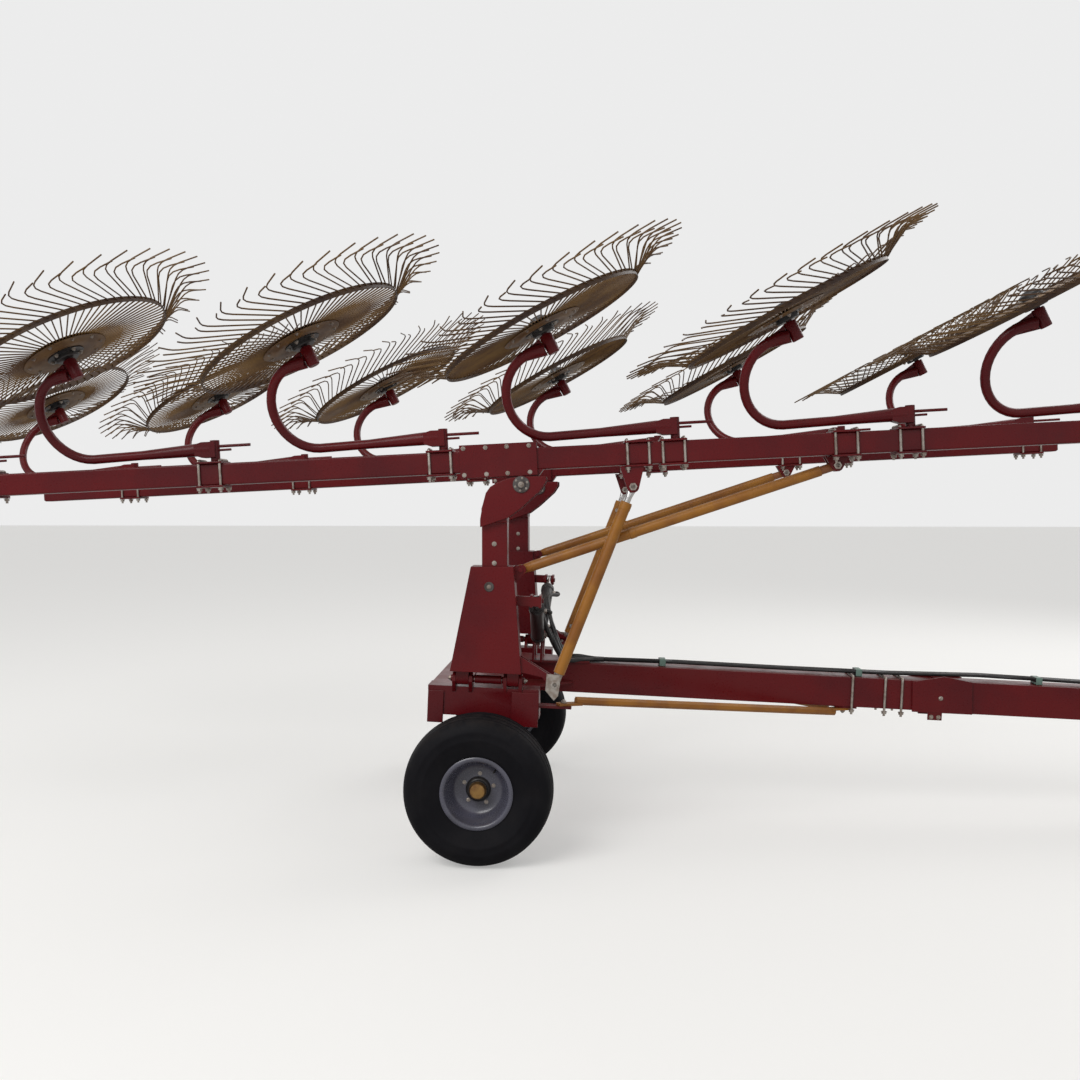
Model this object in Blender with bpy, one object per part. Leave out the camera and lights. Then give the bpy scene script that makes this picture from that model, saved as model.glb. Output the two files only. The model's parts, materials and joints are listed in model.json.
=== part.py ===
"""Carted V wheel rake with twelve tined wheels, folded for transport, built in metres with +Z up.

X runs forward from the middle of the machine, Y to its left, and the ground is at zero.
The right-hand side is built first, in frames of its own, and the left-hand side is its mirror image.
Names that end in SHARE or SHARES hold plain ratios. TOE_IN, BEAM_PITCH and WHEEL_TILT are in radians.
"""
import math

import bmesh
import bpy
from mathutils import Matrix, Vector

for old in list(bpy.data.objects):
    bpy.data.objects.remove(old, do_unlink=True)

PART = "wheel_rake"

# Where the main frames lie. Stations along X are counted from the head pin of the beams.
HEAD_BACK = 0.1669
HEAD_X = -HEAD_BACK
SIDE_Y = 0.728
HEAD_PIN_Z = 1.6977
BEAM_ABOVE_PIN = 0.1149
FRAME_Z = 0.7143
FRAME_SLOPE = 0.0437
TOE_IN = 0.021
BEAM_PITCH = 0.048

# Gaps, and what pieces have in common: plates, pins, the rounded ends of lugs.
SEAT = 0.0004
PIN_PLAY = 0.0003
SLIDE_PLAY = 0.0005
POCKET_PLAY = 0.0006
LUG_PLAY = 0.001
FORK_GAP = 0.0025
RUN_GAP = 0.005
SINK = 0.010
CUT_PAST = 0.030
PLATE = 0.012
PIN_R = 0.012
PIN_PAST = 0.008
PIN_SIDES = 8
LOBE_R = 0.028
LOBE_SHARES = ((-0.86, -0.71), (-0.36, -1.0), (0.36, -1.0), (0.86, -0.71))

# Rake beams, with the six wheels on each counted from the rear.
BEAM_HALF = 0.05
HUBS = 6
HUB_LAST_BACK = 3.010
HUB_FIRST = -HUB_LAST_BACK
HUB_PITCH = 1.0574
HUB_OUT = 0.1995
HUB_UP = 0.475
PIVOT_AHEAD = 0.5387
WHEEL_TILT = 0.4398
SPINDLE_TO_RING = 0.0978
BEAM_TAIL = 0.020
BEAM_NOSE = 0.1293
BEAM_START = HUB_FIRST - BEAM_TAIL
BEAM_END = HUB_FIRST + (HUBS - 1) * HUB_PITCH + PIVOT_AHEAD + BEAM_NOSE

# What is clamped and welded to a beam: clamps, arm pins, strut brackets, and the saddle at the head.
CLAMP_HALF = 0.070
CLAMP_SIDE = 0.010
CLAMP_RISE = 0.012
CLAMP_TOP = BEAM_HALF + CLAMP_RISE
BRACKET_HALF = 0.055
SADDLE_REAR = 0.280
SADDLE_FRONT = 0.070
SADDLE_HALF = 0.075
SADDLE_SIDE = 0.012
WEB_HALF = 0.100
WEB_DROP = 0.115
WEB_SHARES = ((-1.0, -0.39), (-0.45, -1.0), (0.45, -1.0), (1.0, -0.39))
WEB_THICK_HALF = 0.047
BOSS_R = 0.040
BOSS_HALF = 0.064

# Sprung arms, heights from the middle of the beam.
ARM_R = 0.021
ARM_ROOT_R = 0.033
ARM_SIDES = 6
ARM_LOW = 0.0975
ARM_HIGH = 0.121
ARM_BACK = 0.030
GUSSET_LONG = 0.200
BEND_R = 0.185
BEND_STEPS = 5
SLEEVE_R = 0.024
SLEEVE_TALL = 0.088
LEVER_R = 0.007
LEVER_REACH = 0.165
LEVER_Z = 0.130
KNUCKLE_R = 0.028
KNUCKLE_FOOT = 0.105
SPINDLE_R = 0.014

# A rake wheel: hub, plate, hoop and tines. Each tine lags and rises from the hoop, then turns out to its tip.
HUB_R = 0.035
HUB_BACK = 0.030
HUB_FRONT = 0.035
HUB_SIDES = 9
TINES_PER_SIDE = 3
TINES = HUB_SIDES * TINES_PER_SIDE
BORE_END = 0.020
SPINDLE_END = 0.016
PLATE_R = 0.180
HOOP_R = 0.4686
HOOP_HALF = 0.005
TINE_HALF = 0.0045
TINE_RISE = 0.0040
LEG_OUT = 0.1137
LEG_LAG = 0.209
LEG_RISE = 0.0834
TIP_OUT = 0.1254
TIP_LEAD = 0.0315

# Tower: fold axis, hinge lugs, pedestal, and the post with its head.
FOLD_BACK = 0.120
FOLD_X = -FOLD_BACK
FOLD_Z = 0.800
FOLD_PIN_R = 0.016
FOLD_PIN_SIDES = 10
REAR_HINGE_FAR = 0.185
REAR_HINGE_NEAR = 0.125
FRONT_HINGE_NEAR = 0.050
FRONT_HINGE_FAR = 0.105
HINGE_SPANS = ((-REAR_HINGE_FAR, -REAR_HINGE_NEAR), (FRONT_HINGE_NEAR, FRONT_HINGE_FAR))
HINGE_PLATE = 0.016
HINGE_R = 0.030
TOWER_LUG_SHARES = ((-1.0, 2.0), (-1.0, 0.0), (-0.67, -0.73), (0.0, -0.97), (0.67, -0.73), (1.0, 0.0), (1.0, 2.0))
FRAME_LUG_SHARES = ((2.83, -2.0), (-0.33, -2.0), (-1.0, -0.33), (-0.87, 0.5), (-0.43, 0.93), (0.13, 1.0), (0.67, 0.8))
PEDESTAL_HALF = 0.070
PEDESTAL_FOOT = 0.041
PEDESTAL_TOP = 1.326
PEDESTAL_REAR = 0.327
PEDESTAL_FRONT = 0.002
PEDESTAL_TOP_REAR = 0.230
PEDESTAL_TOP_FRONT = 0.037
POST_BACK = 0.1225
POST_HALF = 0.0575
POST_FOOT = 1.080
POST_TOP = 1.600
COLLAR_LOW = 1.500
COLLAR_TALL = 0.090
COLLAR_X = 0.0055
COLLAR_Y = 0.078
HEAD_PIN_R = 0.022
HEAD_PIN_SIDES = 12
CHEEK_IN = 0.070
CHEEK_OUT = 0.085
CHEEK_R = 0.038
CHEEK_LONG = 0.186
CHEEK_SHARES = (
    (-1.0, -1.117), (-1.0, -0.848), (-0.86, -0.203), (-0.597, 0.039), (-0.269, 0.163), (0.296, 0.2),
    (0.602, 0.2), (0.602, 0.066), (0.462, -0.149), (0.0, -0.568), (-0.317, -0.837), (-0.317, -1.117),
)

# Telescopic struts: the plane they lie in, their foot and head pins, radii, and the barrel's share of the length.
STRUT_SIDE = 0.030
WIDTH_FOOT_BACK = 0.008
WIDTH_FOOT_Z = 1.306
WIDTH_HEAD_X = 1.430
WIDTH_HEAD_Z = 1.785
WIDTH_BARREL_R = 0.024
WIDTH_ROD_R = 0.018
WIDTH_SHARE = 0.90
OPENING_FOOT_X = 0.150
OPENING_FOOT_Z = 0.788
OPENING_HEAD_X = 0.5035
OPENING_HEAD_Z = 1.688
OPENING_BARREL_R = 0.026
OPENING_ROD_R = 0.015
OPENING_SHARE = 0.89
STRUTS = (
    # name, plane y, foot x, foot z, head x, head z, barrel r, rod r, barrel share
    ("width_strut", STRUT_SIDE, -WIDTH_FOOT_BACK, WIDTH_FOOT_Z, WIDTH_HEAD_X, WIDTH_HEAD_Z,
     WIDTH_BARREL_R, WIDTH_ROD_R, WIDTH_SHARE),
    ("opening_cylinder", -STRUT_SIDE, OPENING_FOOT_X, OPENING_FOOT_Z, OPENING_HEAD_X, OPENING_HEAD_Z,
     OPENING_BARREL_R, OPENING_ROD_R, OPENING_SHARE),
)
TUBE_SIDES = 10
EYE_SIDES = 8
EYE_R = 0.024
EYE_HALF = 0.012
NECK = 0.052
NECK_R = 0.0105
BARREL_FLOOR = 0.015
ROD_GAP = 0.004
WIDTH_LUG_SHARES = ((-2.39, -2.0), (-2.39, 0.43), (0.43, 0.89), (0.86, 0.43), (0.93, -0.21), (-0.71, -2.0))
# The arm that carries the opening cylinder's foot, in shares of the pin's reach, above the fold axis.
ARM_REAR_SHARES = ((-0.233, 0.307), (-0.30, 0.933), (0.133, 0.707))
ARM_TIP_SHARES = ((0.0, 1.07), (0.79, 0.5), (0.86, -0.21), (0.29, -0.71), (-0.71, -0.71))
ARM_FRONT_SHARES = ((0.633, 0.20), (0.08, 0.307))

# Fold cylinder, across the machine in one plane square to the fold axis.
FOLD_CYL_X = 0.045
FOLD_CYL_IN_Y = 0.638
FOLD_CYL_IN_Z = 0.900
FOLD_CYL_OUT_Y = 0.085
FOLD_CYL_OUT_Z = 1.160
FOLD_CYL_R = 0.033
FOLD_ROD_R = 0.0165
FOLD_SHARE = 0.85
TOWER_LOBE_SHARES = ((0.36, -1.0), (0.93, -0.36), (0.93, 0.36), (0.36, 1.0))
FRAME_HORN_SHARES = ((-1.25, -3.86), (1.07, -3.86), (0.93, 0.36), (0.36, 1.0), (-0.36, 1.0), (-0.93, 0.36))
SHELF_NEAR = 0.012
SHELF_FAR = 0.048
SHELF_HALF = 0.022
SHELF_LONG = 0.120
SHELF_STEP = 0.002

# Frame boxes, heights from the drawbar's centre line at their station.
BOX_TOP = 0.043
BOX_DEEP = 0.091
BOX_REAR = 0.435
BOX_FRONT = 0.077
BOX_OUT = 0.740
BOX_IN = 0.618
CROSS_REAR = 0.255
CROSS_FRONT = 0.105
CROSS_STEP = 0.001
CROSS_LAP = 0.030
YOKE_HALF = 0.120
TOP_PLATE_HALF = 0.140
TOP_PLATE_REAR_HALF = 0.130
TOP_PLATE_NOSE = 0.300
SIDE_GUSSET_OUT = 0.320
SIDE_GUSSET_LONG = 0.220
SIDE_GUSSET_TIP_BACK = 0.020
SIDE_GUSSET_BACK = 0.120
SIDE_GUSSET_DEEP = 0.030
STAY_PLATE_IN = 0.640
STAY_PLATE_OUT = 0.700
STAY_PLATE_FRONT = 0.225
STAY_PLATE_DEEP = 0.033

# Road wheels: legs, stub axles, tyres and rims.
AXLE_BACK = 0.185
AXLE_X = -AXLE_BACK
AXLE_R = 0.022
AXLE_PAST = 0.020
WHEEL_LEG_HALF = 0.065
WHEEL_LEG_IN = 0.640
WHEEL_LEG_OUT = 0.705
WHEEL_LEG_DROP = 0.045
TYRE_R = 0.337
TYRE_Z = TYRE_R
TYRE_HALF = 0.125
TYRE_GAP = 0.0535
TYRE_Y = WHEEL_LEG_OUT + TYRE_GAP + TYRE_HALF
TYRE_SIDES = 26
# Shares of the way from the bead to the tread, and of half the tyre's width.
TYRE_SHARES = ((0.47, 1.0), (0.82, 0.90), (1.0, 0.45))
BEAD_R = 0.150
BEAD_HALF = 0.088
RIM_PLAY = 0.001
RIM_SIDES = 16
LIP_R = 0.163
LIP_HALF = 0.1012
LIP_THICK = 0.0048
DISC_FACE_SHARES = ((0.0, -0.49), (0.18, -0.49), (0.22, -0.15), (0.675, -0.13), (0.847, -0.566), (0.92, -1.0))
DISC_BACK_SHARES = ((0.92, 1.0), (0.86, 0.094), (0.26, -0.038), (0.26, 0.80))
RIM_BORE_END = 0.034

# Drawbar, splice, hitch and stays, stations from the head pin.
DRAWBAR_HALF = 0.076
DRAWBAR_BACK = 0.1045
SPLICE_X = 2.090
DRAWBAR_FRONT = 3.860
NOSE_STEP = 0.004
FISH_REAR = 0.140
FISH_FRONT = 0.160
FISH_TOP = 0.028
FISH_TOP_X = 0.020
FISH_DROP = 0.012
TIE_REAR = 0.030
TIE_FRONT = 0.130
TIE_HALF = 0.050
FLANGE_THICK = 0.020
FLANGE_LAP = 0.010
SHANK_HALF = 0.030
EYE_X = 4.030
EYE_TALL_HALF = 0.022
EYE_RING_R = 0.062
EYE_HOLE_R = 0.026
STAY_R = 0.020
STAY_REAR_X = 0.190
STAY_REAR_OUT = 0.670
STAY_FRONT_X = 1.615
STAY_FRONT_OUT = 0.042
PAD_THICK = 0.010
PAD_REAR = 0.050
PAD_FRONT = 0.060
PAD_HALF = 0.070
TAB_HALF = 0.0055
TAB_WIDE = 0.024
TAB_PAST = 0.030
TAB_LONG = 0.085
TAB_LAP = 0.060
STAY_DROP = 0.014

# Parking jack, on the left of the drawbar.
JACK_X = 3.300
JACK_Y = 0.135
JACK_HALF = 0.036
JACK_LEG_HALF = 0.028
JACK_TRAVEL = 0.300
JACK_TOP = 0.920
JACK_CAP = 0.020
JACK_LEG_TOP = 0.560
JACK_PLATE = 0.010
JACK_PLATE_HALF = 0.090
JACK_CLEAR = 0.010
JACK_FOOT = JACK_TRAVEL + JACK_PLATE + JACK_CLEAR
JACK_ARM_X = 0.050
JACK_ARM_Z = 0.060
CRANK_R = 0.008
CRANK_LONG = 0.120
CRANK_SHARES = ((0.0, -0.083), (0.0, 0.25), (-0.917, 0.417), (-1.0, 1.167))

# Hoses on the drawbar: stations in shares of the drawbar's length, lifts in shares of the hose's radius.
HOSE_R = 0.010
HOSE_SIDES = 5
HOSE_GAP = 0.034
HOSE_SHARES = ((0.0933, 1.6), (0.1943, 2.2), (0.3368, 2.0), (0.4819, 2.2), (0.5959, 3.4), (0.7772, 2.4), (0.9689, 2.2))
CLIP_SHARES = (0.1762, 0.4378, 0.6736, 0.9067)
CLIP_HALF = 0.015
CLIP_WIDE = 0.036
CLIP_TALL = 0.036

COLOURS = {
    "crimson": (0.20, 0.012, 0.014, 1.0),
    "ochre": (0.55, 0.26, 0.03, 1.0),
    "golden": (0.62, 0.36, 0.04, 1.0),
    "rubber": (0.015, 0.015, 0.017, 1.0),
    "grey": (0.18, 0.20, 0.24, 1.0),
    "black": (0.012, 0.012, 0.013, 1.0),
    "steel": (0.50, 0.50, 0.50, 1.0),
}

collection = bpy.data.collections.new(PART)
bpy.context.scene.collection.children.link(collection)
materials = {}
for tone, rgba in COLOURS.items():
    paint = bpy.data.materials.new(tone)
    paint.use_nodes = True
    shader = paint.node_tree.nodes["Principled BSDF"]
    shader.inputs["Base Color"].default_value = rgba
    shader.inputs["Roughness"].default_value = 0.5
    materials[tone] = paint


def frame_z(x):
    """Height of the drawbar's centre line at a station."""
    return FRAME_Z - FRAME_SLOPE * x


def axis_z(x):
    """Height of the fold axis at a station."""
    return FOLD_Z - FRAME_SLOPE * (x - FOLD_X)


MAIN = Matrix.Translation((HEAD_X, 0.0, 0.0))
SLOPE = MAIN @ Matrix.Translation((0.0, 0.0, FRAME_Z)) @ Matrix.Rotation(math.atan(FRAME_SLOPE), 4, "Y")
TOWER = Matrix.Translation((HEAD_X, -SIDE_Y, 0.0)) @ Matrix.Rotation(TOE_IN, 4, "Z")
FOLD = TOWER @ Matrix.Translation((FOLD_X, 0.0, FOLD_Z)) @ Matrix.Rotation(math.atan(FRAME_SLOPE), 4, "Y")
BEAM_MIDDLE = Matrix.Translation((0.0, 0.0, HEAD_PIN_Z + BEAM_ABOVE_PIN))
BEAM = TOWER @ BEAM_MIDDLE @ Matrix.Rotation(-BEAM_PITCH, 4, "Y")
HUB = MAIN @ Matrix.Translation((AXLE_X, -TYRE_Y, TYRE_Z))
MIRROR = Matrix.Scale(-1.0, 4, (0.0, 1.0, 0.0))


def bore(radius, sides):
    """Radius of a faceted bore that a round pin of this radius turns in."""
    return (radius + PIN_PLAY) / math.cos(math.pi / sides)


def hub_station(index):
    return HUB_FIRST + index * HUB_PITCH


def wheel_frame(index):
    """Frame of a rake wheel, its origin in the middle of the hoop and its Z along the spindle."""
    foot = Matrix.Translation((hub_station(index), -HUB_OUT, HUB_UP))
    return BEAM @ foot @ Matrix.Rotation(-WHEEL_TILT, 4, "Y") @ Matrix.Translation((0.0, 0.0, SPINDLE_TO_RING))


def spot(frame, x=0.0, y=0.0, z=0.0):
    return frame @ Vector((x, y, z))


def shaped(shares, x, z, wide, high=None):
    """Outline points from shares of a width and a height, counted from a place."""
    high = wide if high is None else high
    return [(x + wide * across, z + high * up) for across, up in shares]


def solid(points, faces, frame=None):
    """A loose object from points and faces, turned outwards, placed in a frame."""
    mesh = bpy.data.meshes.new("solid")
    mesh.from_pydata([tuple(point) for point in points], [], faces)
    if frame is not None:
        mesh.transform(frame)
    shape = bmesh.new()
    shape.from_mesh(mesh)
    bmesh.ops.recalc_face_normals(shape, faces=shape.faces)
    shape.to_mesh(mesh)
    shape.free()
    return bpy.data.objects.new("solid", mesh)


def prism(outline, one, other, plane="xz", frame=None):
    """An outline in one plane, drawn out along the third axis from one level to the other."""
    places = {
        "xz": lambda a, b, c: (a, c, b),
        "xy": lambda a, b, c: (a, b, c),
        "yz": lambda a, b, c: (c, a, b),
    }
    place = places[plane]
    count = len(outline)
    points = [place(a, b, level) for level in sorted((one, other)) for a, b in outline]
    faces = [tuple(range(count)), tuple(range(count, 2 * count))]
    for corner in range(count):
        after = (corner + 1) % count
        faces.append((corner, after, count + after, count + corner))
    return solid(points, faces, frame)


def block(low, high, frame=None):
    """A box between two corners."""
    outline = [(low[0], low[2]), (high[0], low[2]), (high[0], high[2]), (low[0], high[2])]
    return prism(outline, low[1], high[1], "xz", frame)


def sloped_box(x_low, x_high, one_y, other_y, foot, top, frame=MAIN):
    """A box whose top and foot follow the slope of the frame."""
    outline = [
        (x_low, frame_z(x_low) + foot), (x_high, frame_z(x_high) + foot),
        (x_high, frame_z(x_high) + top), (x_low, frame_z(x_low) + top),
    ]
    return prism(outline, one_y, other_y, "xz", frame)


def bar(path, radii, sides=TUBE_SIDES, frame=None, turn=0.5):
    """A round bar along a path of points, mitred at its bends, of one radius or of one for each point."""
    path = [Vector(point) for point in path]
    if not isinstance(radii, (list, tuple)):
        radii = [radii] * len(path)
    steps = [(b - a).normalized() for a, b in zip(path, path[1:])]
    side = steps[0].orthogonal().normalized()
    points = []
    last = len(path) - 1
    for place, centre in enumerate(path):
        before = steps[max(place - 1, 0)]
        after = steps[min(place, last - 1)]
        mitre = (before + after).normalized()
        side = (side - before * side.dot(before)).normalized()
        up = before.cross(side)
        for corner in range(sides):
            angle = 2.0 * math.pi * (corner + turn) / sides
            point = centre + (side * math.cos(angle) + up * math.sin(angle)) * radii[place]
            point -= before * ((point - centre).dot(mitre) / before.dot(mitre))
            points.append(point)
        side = (side - after * side.dot(after)).normalized()
    faces = [tuple(range(sides)), tuple(range(last * sides, (last + 1) * sides))]
    for ring in range(last):
        for corner in range(sides):
            after = (corner + 1) % sides
            low = ring * sides
            faces.append((low + corner, low + after, low + sides + after, low + sides + corner))
    return solid(points, faces, frame)


def pin_bore(path, radius, sides, frame=None):
    """The cutter for the bore of a faceted pin; its flats face the pin's corners."""
    return bar(path, bore(radius, sides), sides, frame, 0.0)


def turned(profile, sides, frame=None, axis="z"):
    """A body of revolution; the profile gives (radius, height), and a radius of zero closes an end."""
    points = []
    rings = []
    for radius, height in profile:
        if radius == 0.0:
            rings.append([len(points)])
            points.append(Vector((0.0, 0.0, height)))
            continue
        rings.append(list(range(len(points), len(points) + sides)))
        for corner in range(sides):
            angle = 2.0 * math.pi * (corner + 0.5) / sides
            points.append(Vector((radius * math.cos(angle), radius * math.sin(angle), height)))
    if profile[0][0] != 0.0:
        rings.append(rings[0])
    if axis == "y":
        points = [Vector((point.x, point.z, point.y)) for point in points]
    faces = []
    for ring, other in zip(rings, rings[1:]):
        for corner in range(sides):
            after = (corner + 1) % sides
            if len(ring) == 1:
                faces.append((ring[0], other[corner], other[after]))
            elif len(other) == 1:
                faces.append((ring[corner], ring[after], other[0]))
            else:
                faces.append((ring[corner], ring[after], other[after], other[corner]))
    return solid(points, faces, frame)


def combine(first, others, operation):
    """The first solid with the others added or cut away, one by one."""
    holder = bpy.context.scene.collection
    holder.objects.link(first)
    for other in others:
        holder.objects.link(other)
        step = first.modifiers.new("step", "BOOLEAN")
        step.solver = "EXACT"
        step.operation = operation
        step.object = other
        bpy.context.view_layer.update()
        mesh = bpy.data.meshes.new_from_object(first.evaluated_get(bpy.context.evaluated_depsgraph_get()))
        first.modifiers.remove(step)
        first.data = mesh
        holder.objects.unlink(other)
        bpy.data.objects.remove(other)
    holder.objects.unlink(first)
    return first


def joined(*pieces):
    return combine(pieces[0], pieces[1:], "UNION")


def cut(body, *tools):
    return combine(body, tools, "DIFFERENCE")


def finish(name, piece, tone, origin=None):
    """Name a piece, give it its colour, put its origin on its joint and link it to the part."""
    shape = bmesh.new()
    shape.from_mesh(piece.data)
    bmesh.ops.remove_doubles(shape, verts=shape.verts, dist=0.00002)
    bmesh.ops.dissolve_limit(shape, angle_limit=0.0005, verts=shape.verts, edges=shape.edges)
    bmesh.ops.recalc_face_normals(shape, faces=shape.faces)
    place = Vector(origin) if origin is not None else Vector((0.0, 0.0, 0.0))
    bmesh.ops.translate(shape, verts=shape.verts, vec=-place)
    shape.to_mesh(piece.data)
    shape.free()
    piece.location = place
    piece.name = name
    piece.data.name = name
    piece.data.materials.clear()
    piece.data.materials.append(materials[tone])
    collection.objects.link(piece)
    return piece


def both_sides(name, piece, tone, origin=None):
    """Finish a right-hand piece and its mirror image on the left."""
    twin = bpy.data.objects.new("twin", piece.data.copy())
    twin.data.transform(MIRROR)
    far = None if origin is None else (origin[0], -origin[1], origin[2])
    finish("right_" + name, piece, tone, origin)
    finish("left_" + name, twin, tone, far)


def fork(pin_x, pin_z, plane_y, outline, frame, through=True):
    """Two plates beside an eye and their pin. A pin that isn't through stops at the eye, which holds its middle."""
    inner = EYE_HALF + FORK_GAP
    outer = inner + PLATE
    ends = outer + PIN_PAST
    solids = []
    for side in (-1.0, 1.0):
        solids.append(prism(outline, plane_y + side * inner, plane_y + side * outer, "xz", frame))
        start = plane_y - ends if through else plane_y + side * (EYE_HALF + FORK_GAP + SEAT)
        if side > 0.0 or not through:
            path = [(pin_x, start, pin_z), (pin_x, plane_y + side * ends, pin_z)]
            solids.append(bar(path, PIN_R, PIN_SIDES, frame))
    return solids


def telescope(name, foot, head, pin_axis, barrel_r, rod_r, share, tones):
    """A barrel with its eye at the foot pin and a rod with its eye at the head pin."""
    foot = Vector(foot)
    head = Vector(head)
    axis = Vector(pin_axis).normalized()
    along = (head - foot).normalized()
    length = (head - foot).length
    mouth = foot + along * (length * share)
    bottom = foot + along * (NECK + BARREL_FLOOR)

    def eye(centre):
        return bar([centre - axis * EYE_HALF, centre + axis * EYE_HALF], EYE_R, EYE_SIDES)

    def hole(centre):
        return pin_bore([centre - axis * CUT_PAST, centre + axis * CUT_PAST], PIN_R, PIN_SIDES)

    tube = bar([foot + along * NECK, mouth], barrel_r)
    barrel = joined(tube, bar([foot, foot + along * (NECK + SINK)], NECK_R, EYE_SIDES), eye(foot))
    barrel = cut(barrel, hole(foot), bar([bottom, mouth + along * CUT_PAST], rod_r + SLIDE_PLAY))
    tube = bar([bottom + along * ROD_GAP, head - along * NECK], rod_r)
    rod = joined(tube, bar([head - along * (NECK + SINK), head], NECK_R, EYE_SIDES), eye(head))
    both_sides(name + "_barrel", barrel, tones[0], foot)
    both_sides(name + "_rod", rod, tones[1], head)


def tine_rings(index):
    """The five rings of three points that carry one tine: plate rim, hoop inside and outside, bend and tip."""
    across = (Vector((0.0, -TINE_HALF, TINE_RISE)), Vector((0.0, TINE_HALF, TINE_RISE)), Vector((0.0, 0.0, -TINE_RISE)))
    path = [Vector((radius, 0.0, 0.0)) for radius in (PLATE_R, HOOP_R - HOOP_HALF, HOOP_R + HOOP_HALF)]
    path.append(path[2] + Vector((LEG_OUT, -LEG_LAG, LEG_RISE)))
    path.append(path[3] + Vector((TIP_OUT, TIP_LEAD, 0.0)))
    steps = [(b - a).normalized() for a, b in zip(path, path[1:])]
    turn = Matrix.Rotation(2.0 * math.pi * index / TINES, 3, "Z")
    rings = [[turn @ (path[0] + point) for point in across], [turn @ (path[1] + point) for point in across]]
    places = [path[1] + point for point in across]
    for ring in (2, 3, 4):
        before = steps[ring - 1]
        mitre = (before + steps[min(ring, 3)]).normalized()
        places = [place + before * ((path[ring] - place).dot(mitre) / before.dot(mitre)) for place in places]
        rings.append([turn @ place for place in places])
    return rings


def rake_wheel(index):
    """One tined wheel as a single closed skin: hub, plate, tines out to their tips, and the hoop that ties them."""
    points = []
    faces = []

    def ring(radius, height):
        first = len(points)
        for corner in range(HUB_SIDES):
            angle = 2.0 * math.pi * corner / HUB_SIDES
            points.append(Vector((radius * math.cos(angle), radius * math.sin(angle), height)))
        return list(range(first, first + HUB_SIDES))

    def band(low, high):
        for corner in range(HUB_SIDES):
            after = (corner + 1) % HUB_SIDES
            faces.append((low[corner], low[after], high[after], high[corner]))

    hole = bore(SPINDLE_R, HUB_SIDES)
    top, crown = ring(HUB_R, TINE_RISE), ring(HUB_R, HUB_FRONT)
    foot, back = ring(HUB_R, -TINE_RISE), ring(HUB_R, -HUB_BACK)
    mouth, floor = ring(hole, -HUB_BACK), ring(hole, BORE_END)
    band(top, crown)
    band(foot, back)
    band(back, mouth)
    band(mouth, floor)
    faces += [tuple(crown), tuple(floor)]
    tines = []
    for tine in range(TINES):
        rings = []
        for places in tine_rings(tine):
            rings.append(list(range(len(points), len(points) + 3)))
            points.extend(places)
        tines.append(rings)
        for low, high in ((0, 1), (2, 3), (3, 4)):
            for corner in range(3):
                after = (corner + 1) % 3
                faces.append((rings[low][corner], rings[low][after], rings[high][after], rings[high][corner]))
        faces.append((rings[1][0], rings[1][1], rings[2][1], rings[2][0]))
        faces.append(tuple(rings[4]))
    for tine in range(TINES):
        here, there = tines[tine], tines[(tine + 1) % TINES]
        faces.append((here[0][1], here[0][2], there[0][2], there[0][0]))
        inner = (here[1][1], here[1][2], there[1][2], there[1][0])
        outer = (here[2][1], here[2][2], there[2][2], there[2][0])
        faces += [inner, outer]
        faces.append((inner[0], outer[0], outer[3], inner[3]))
        faces.append((inner[1], outer[1], outer[2], inner[2]))
    for corner in range(HUB_SIDES):
        after = (corner + 1) % HUB_SIDES
        upper = [top[corner]]
        lower = [foot[corner]]
        for step in range(TINES_PER_SIDE + 1):
            rim = tines[(corner * TINES_PER_SIDE + step) % TINES][0]
            upper += rim[1:2] if step == 0 else rim[0:2]
            lower.append(rim[2])
        faces += [tuple(upper + [top[after]]), tuple(lower + [foot[after]])]
    frame = wheel_frame(index)
    return solid(points, faces, frame), spot(frame)


def wheel_arm(index):
    """The sprung arm of one rake wheel: pivot sleeve, tapered tube, C-shaped bend, knuckle and spindle."""
    hub = hub_station(index)
    pivot = hub + PIVOT_AHEAD
    back = hub - ARM_BACK
    fall = (ARM_HIGH - ARM_LOW) * GUSSET_LONG / (pivot - back)
    path = [(pivot, 0.0, ARM_HIGH), (pivot - GUSSET_LONG, 0.0, ARM_HIGH - fall)]
    for step in range(BEND_STEPS):
        turn = math.pi * step / BEND_STEPS
        out = -HUB_OUT * (1.0 - math.cos(turn)) / 2.0
        path.append((back - BEND_R * math.sin(turn), out, ARM_LOW + BEND_R * (1.0 - math.cos(turn))))
    path.append((hub - SINK, -HUB_OUT, ARM_LOW + 2.0 * BEND_R))
    tube = bar(path, [ARM_ROOT_R] + [ARM_R] * (len(path) - 1), ARM_SIDES, BEAM)
    shoulder = HUB_BACK + RUN_GAP
    profile = [
        (0.0, -KNUCKLE_FOOT), (KNUCKLE_R, -KNUCKLE_FOOT), (KNUCKLE_R, -shoulder),
        (SPINDLE_R, -shoulder), (SPINDLE_R, SPINDLE_END), (0.0, SPINDLE_END),
    ]
    knuckle = turned(profile, EYE_SIDES, wheel_frame(index))
    low = CLAMP_TOP + SEAT
    sleeve = bar([(pivot, 0.0, low), (pivot, 0.0, low + SLEEVE_TALL)], SLEEVE_R, EYE_SIDES, BEAM)
    lever = bar([(pivot + PIN_R + PIN_PAST, 0.0, LEVER_Z), (pivot + LEVER_REACH, 0.0, LEVER_Z)], LEVER_R, 4, BEAM)
    arm = joined(tube, knuckle, sleeve, lever)
    ends = [(pivot, 0.0, low - CUT_PAST), (pivot, 0.0, low + SLEEVE_TALL + CUT_PAST)]
    return cut(arm, pin_bore(ends, PIN_R, PIN_SIDES, BEAM))


def clamp(x):
    """A pair of plates and bolts round the beam, as one block a little larger than it."""
    side = BEAM_HALF + CLAMP_SIDE
    return block((x - CLAMP_HALF, -side, -CLAMP_TOP), (x + CLAMP_HALF, side, CLAMP_TOP), BEAM)


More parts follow.
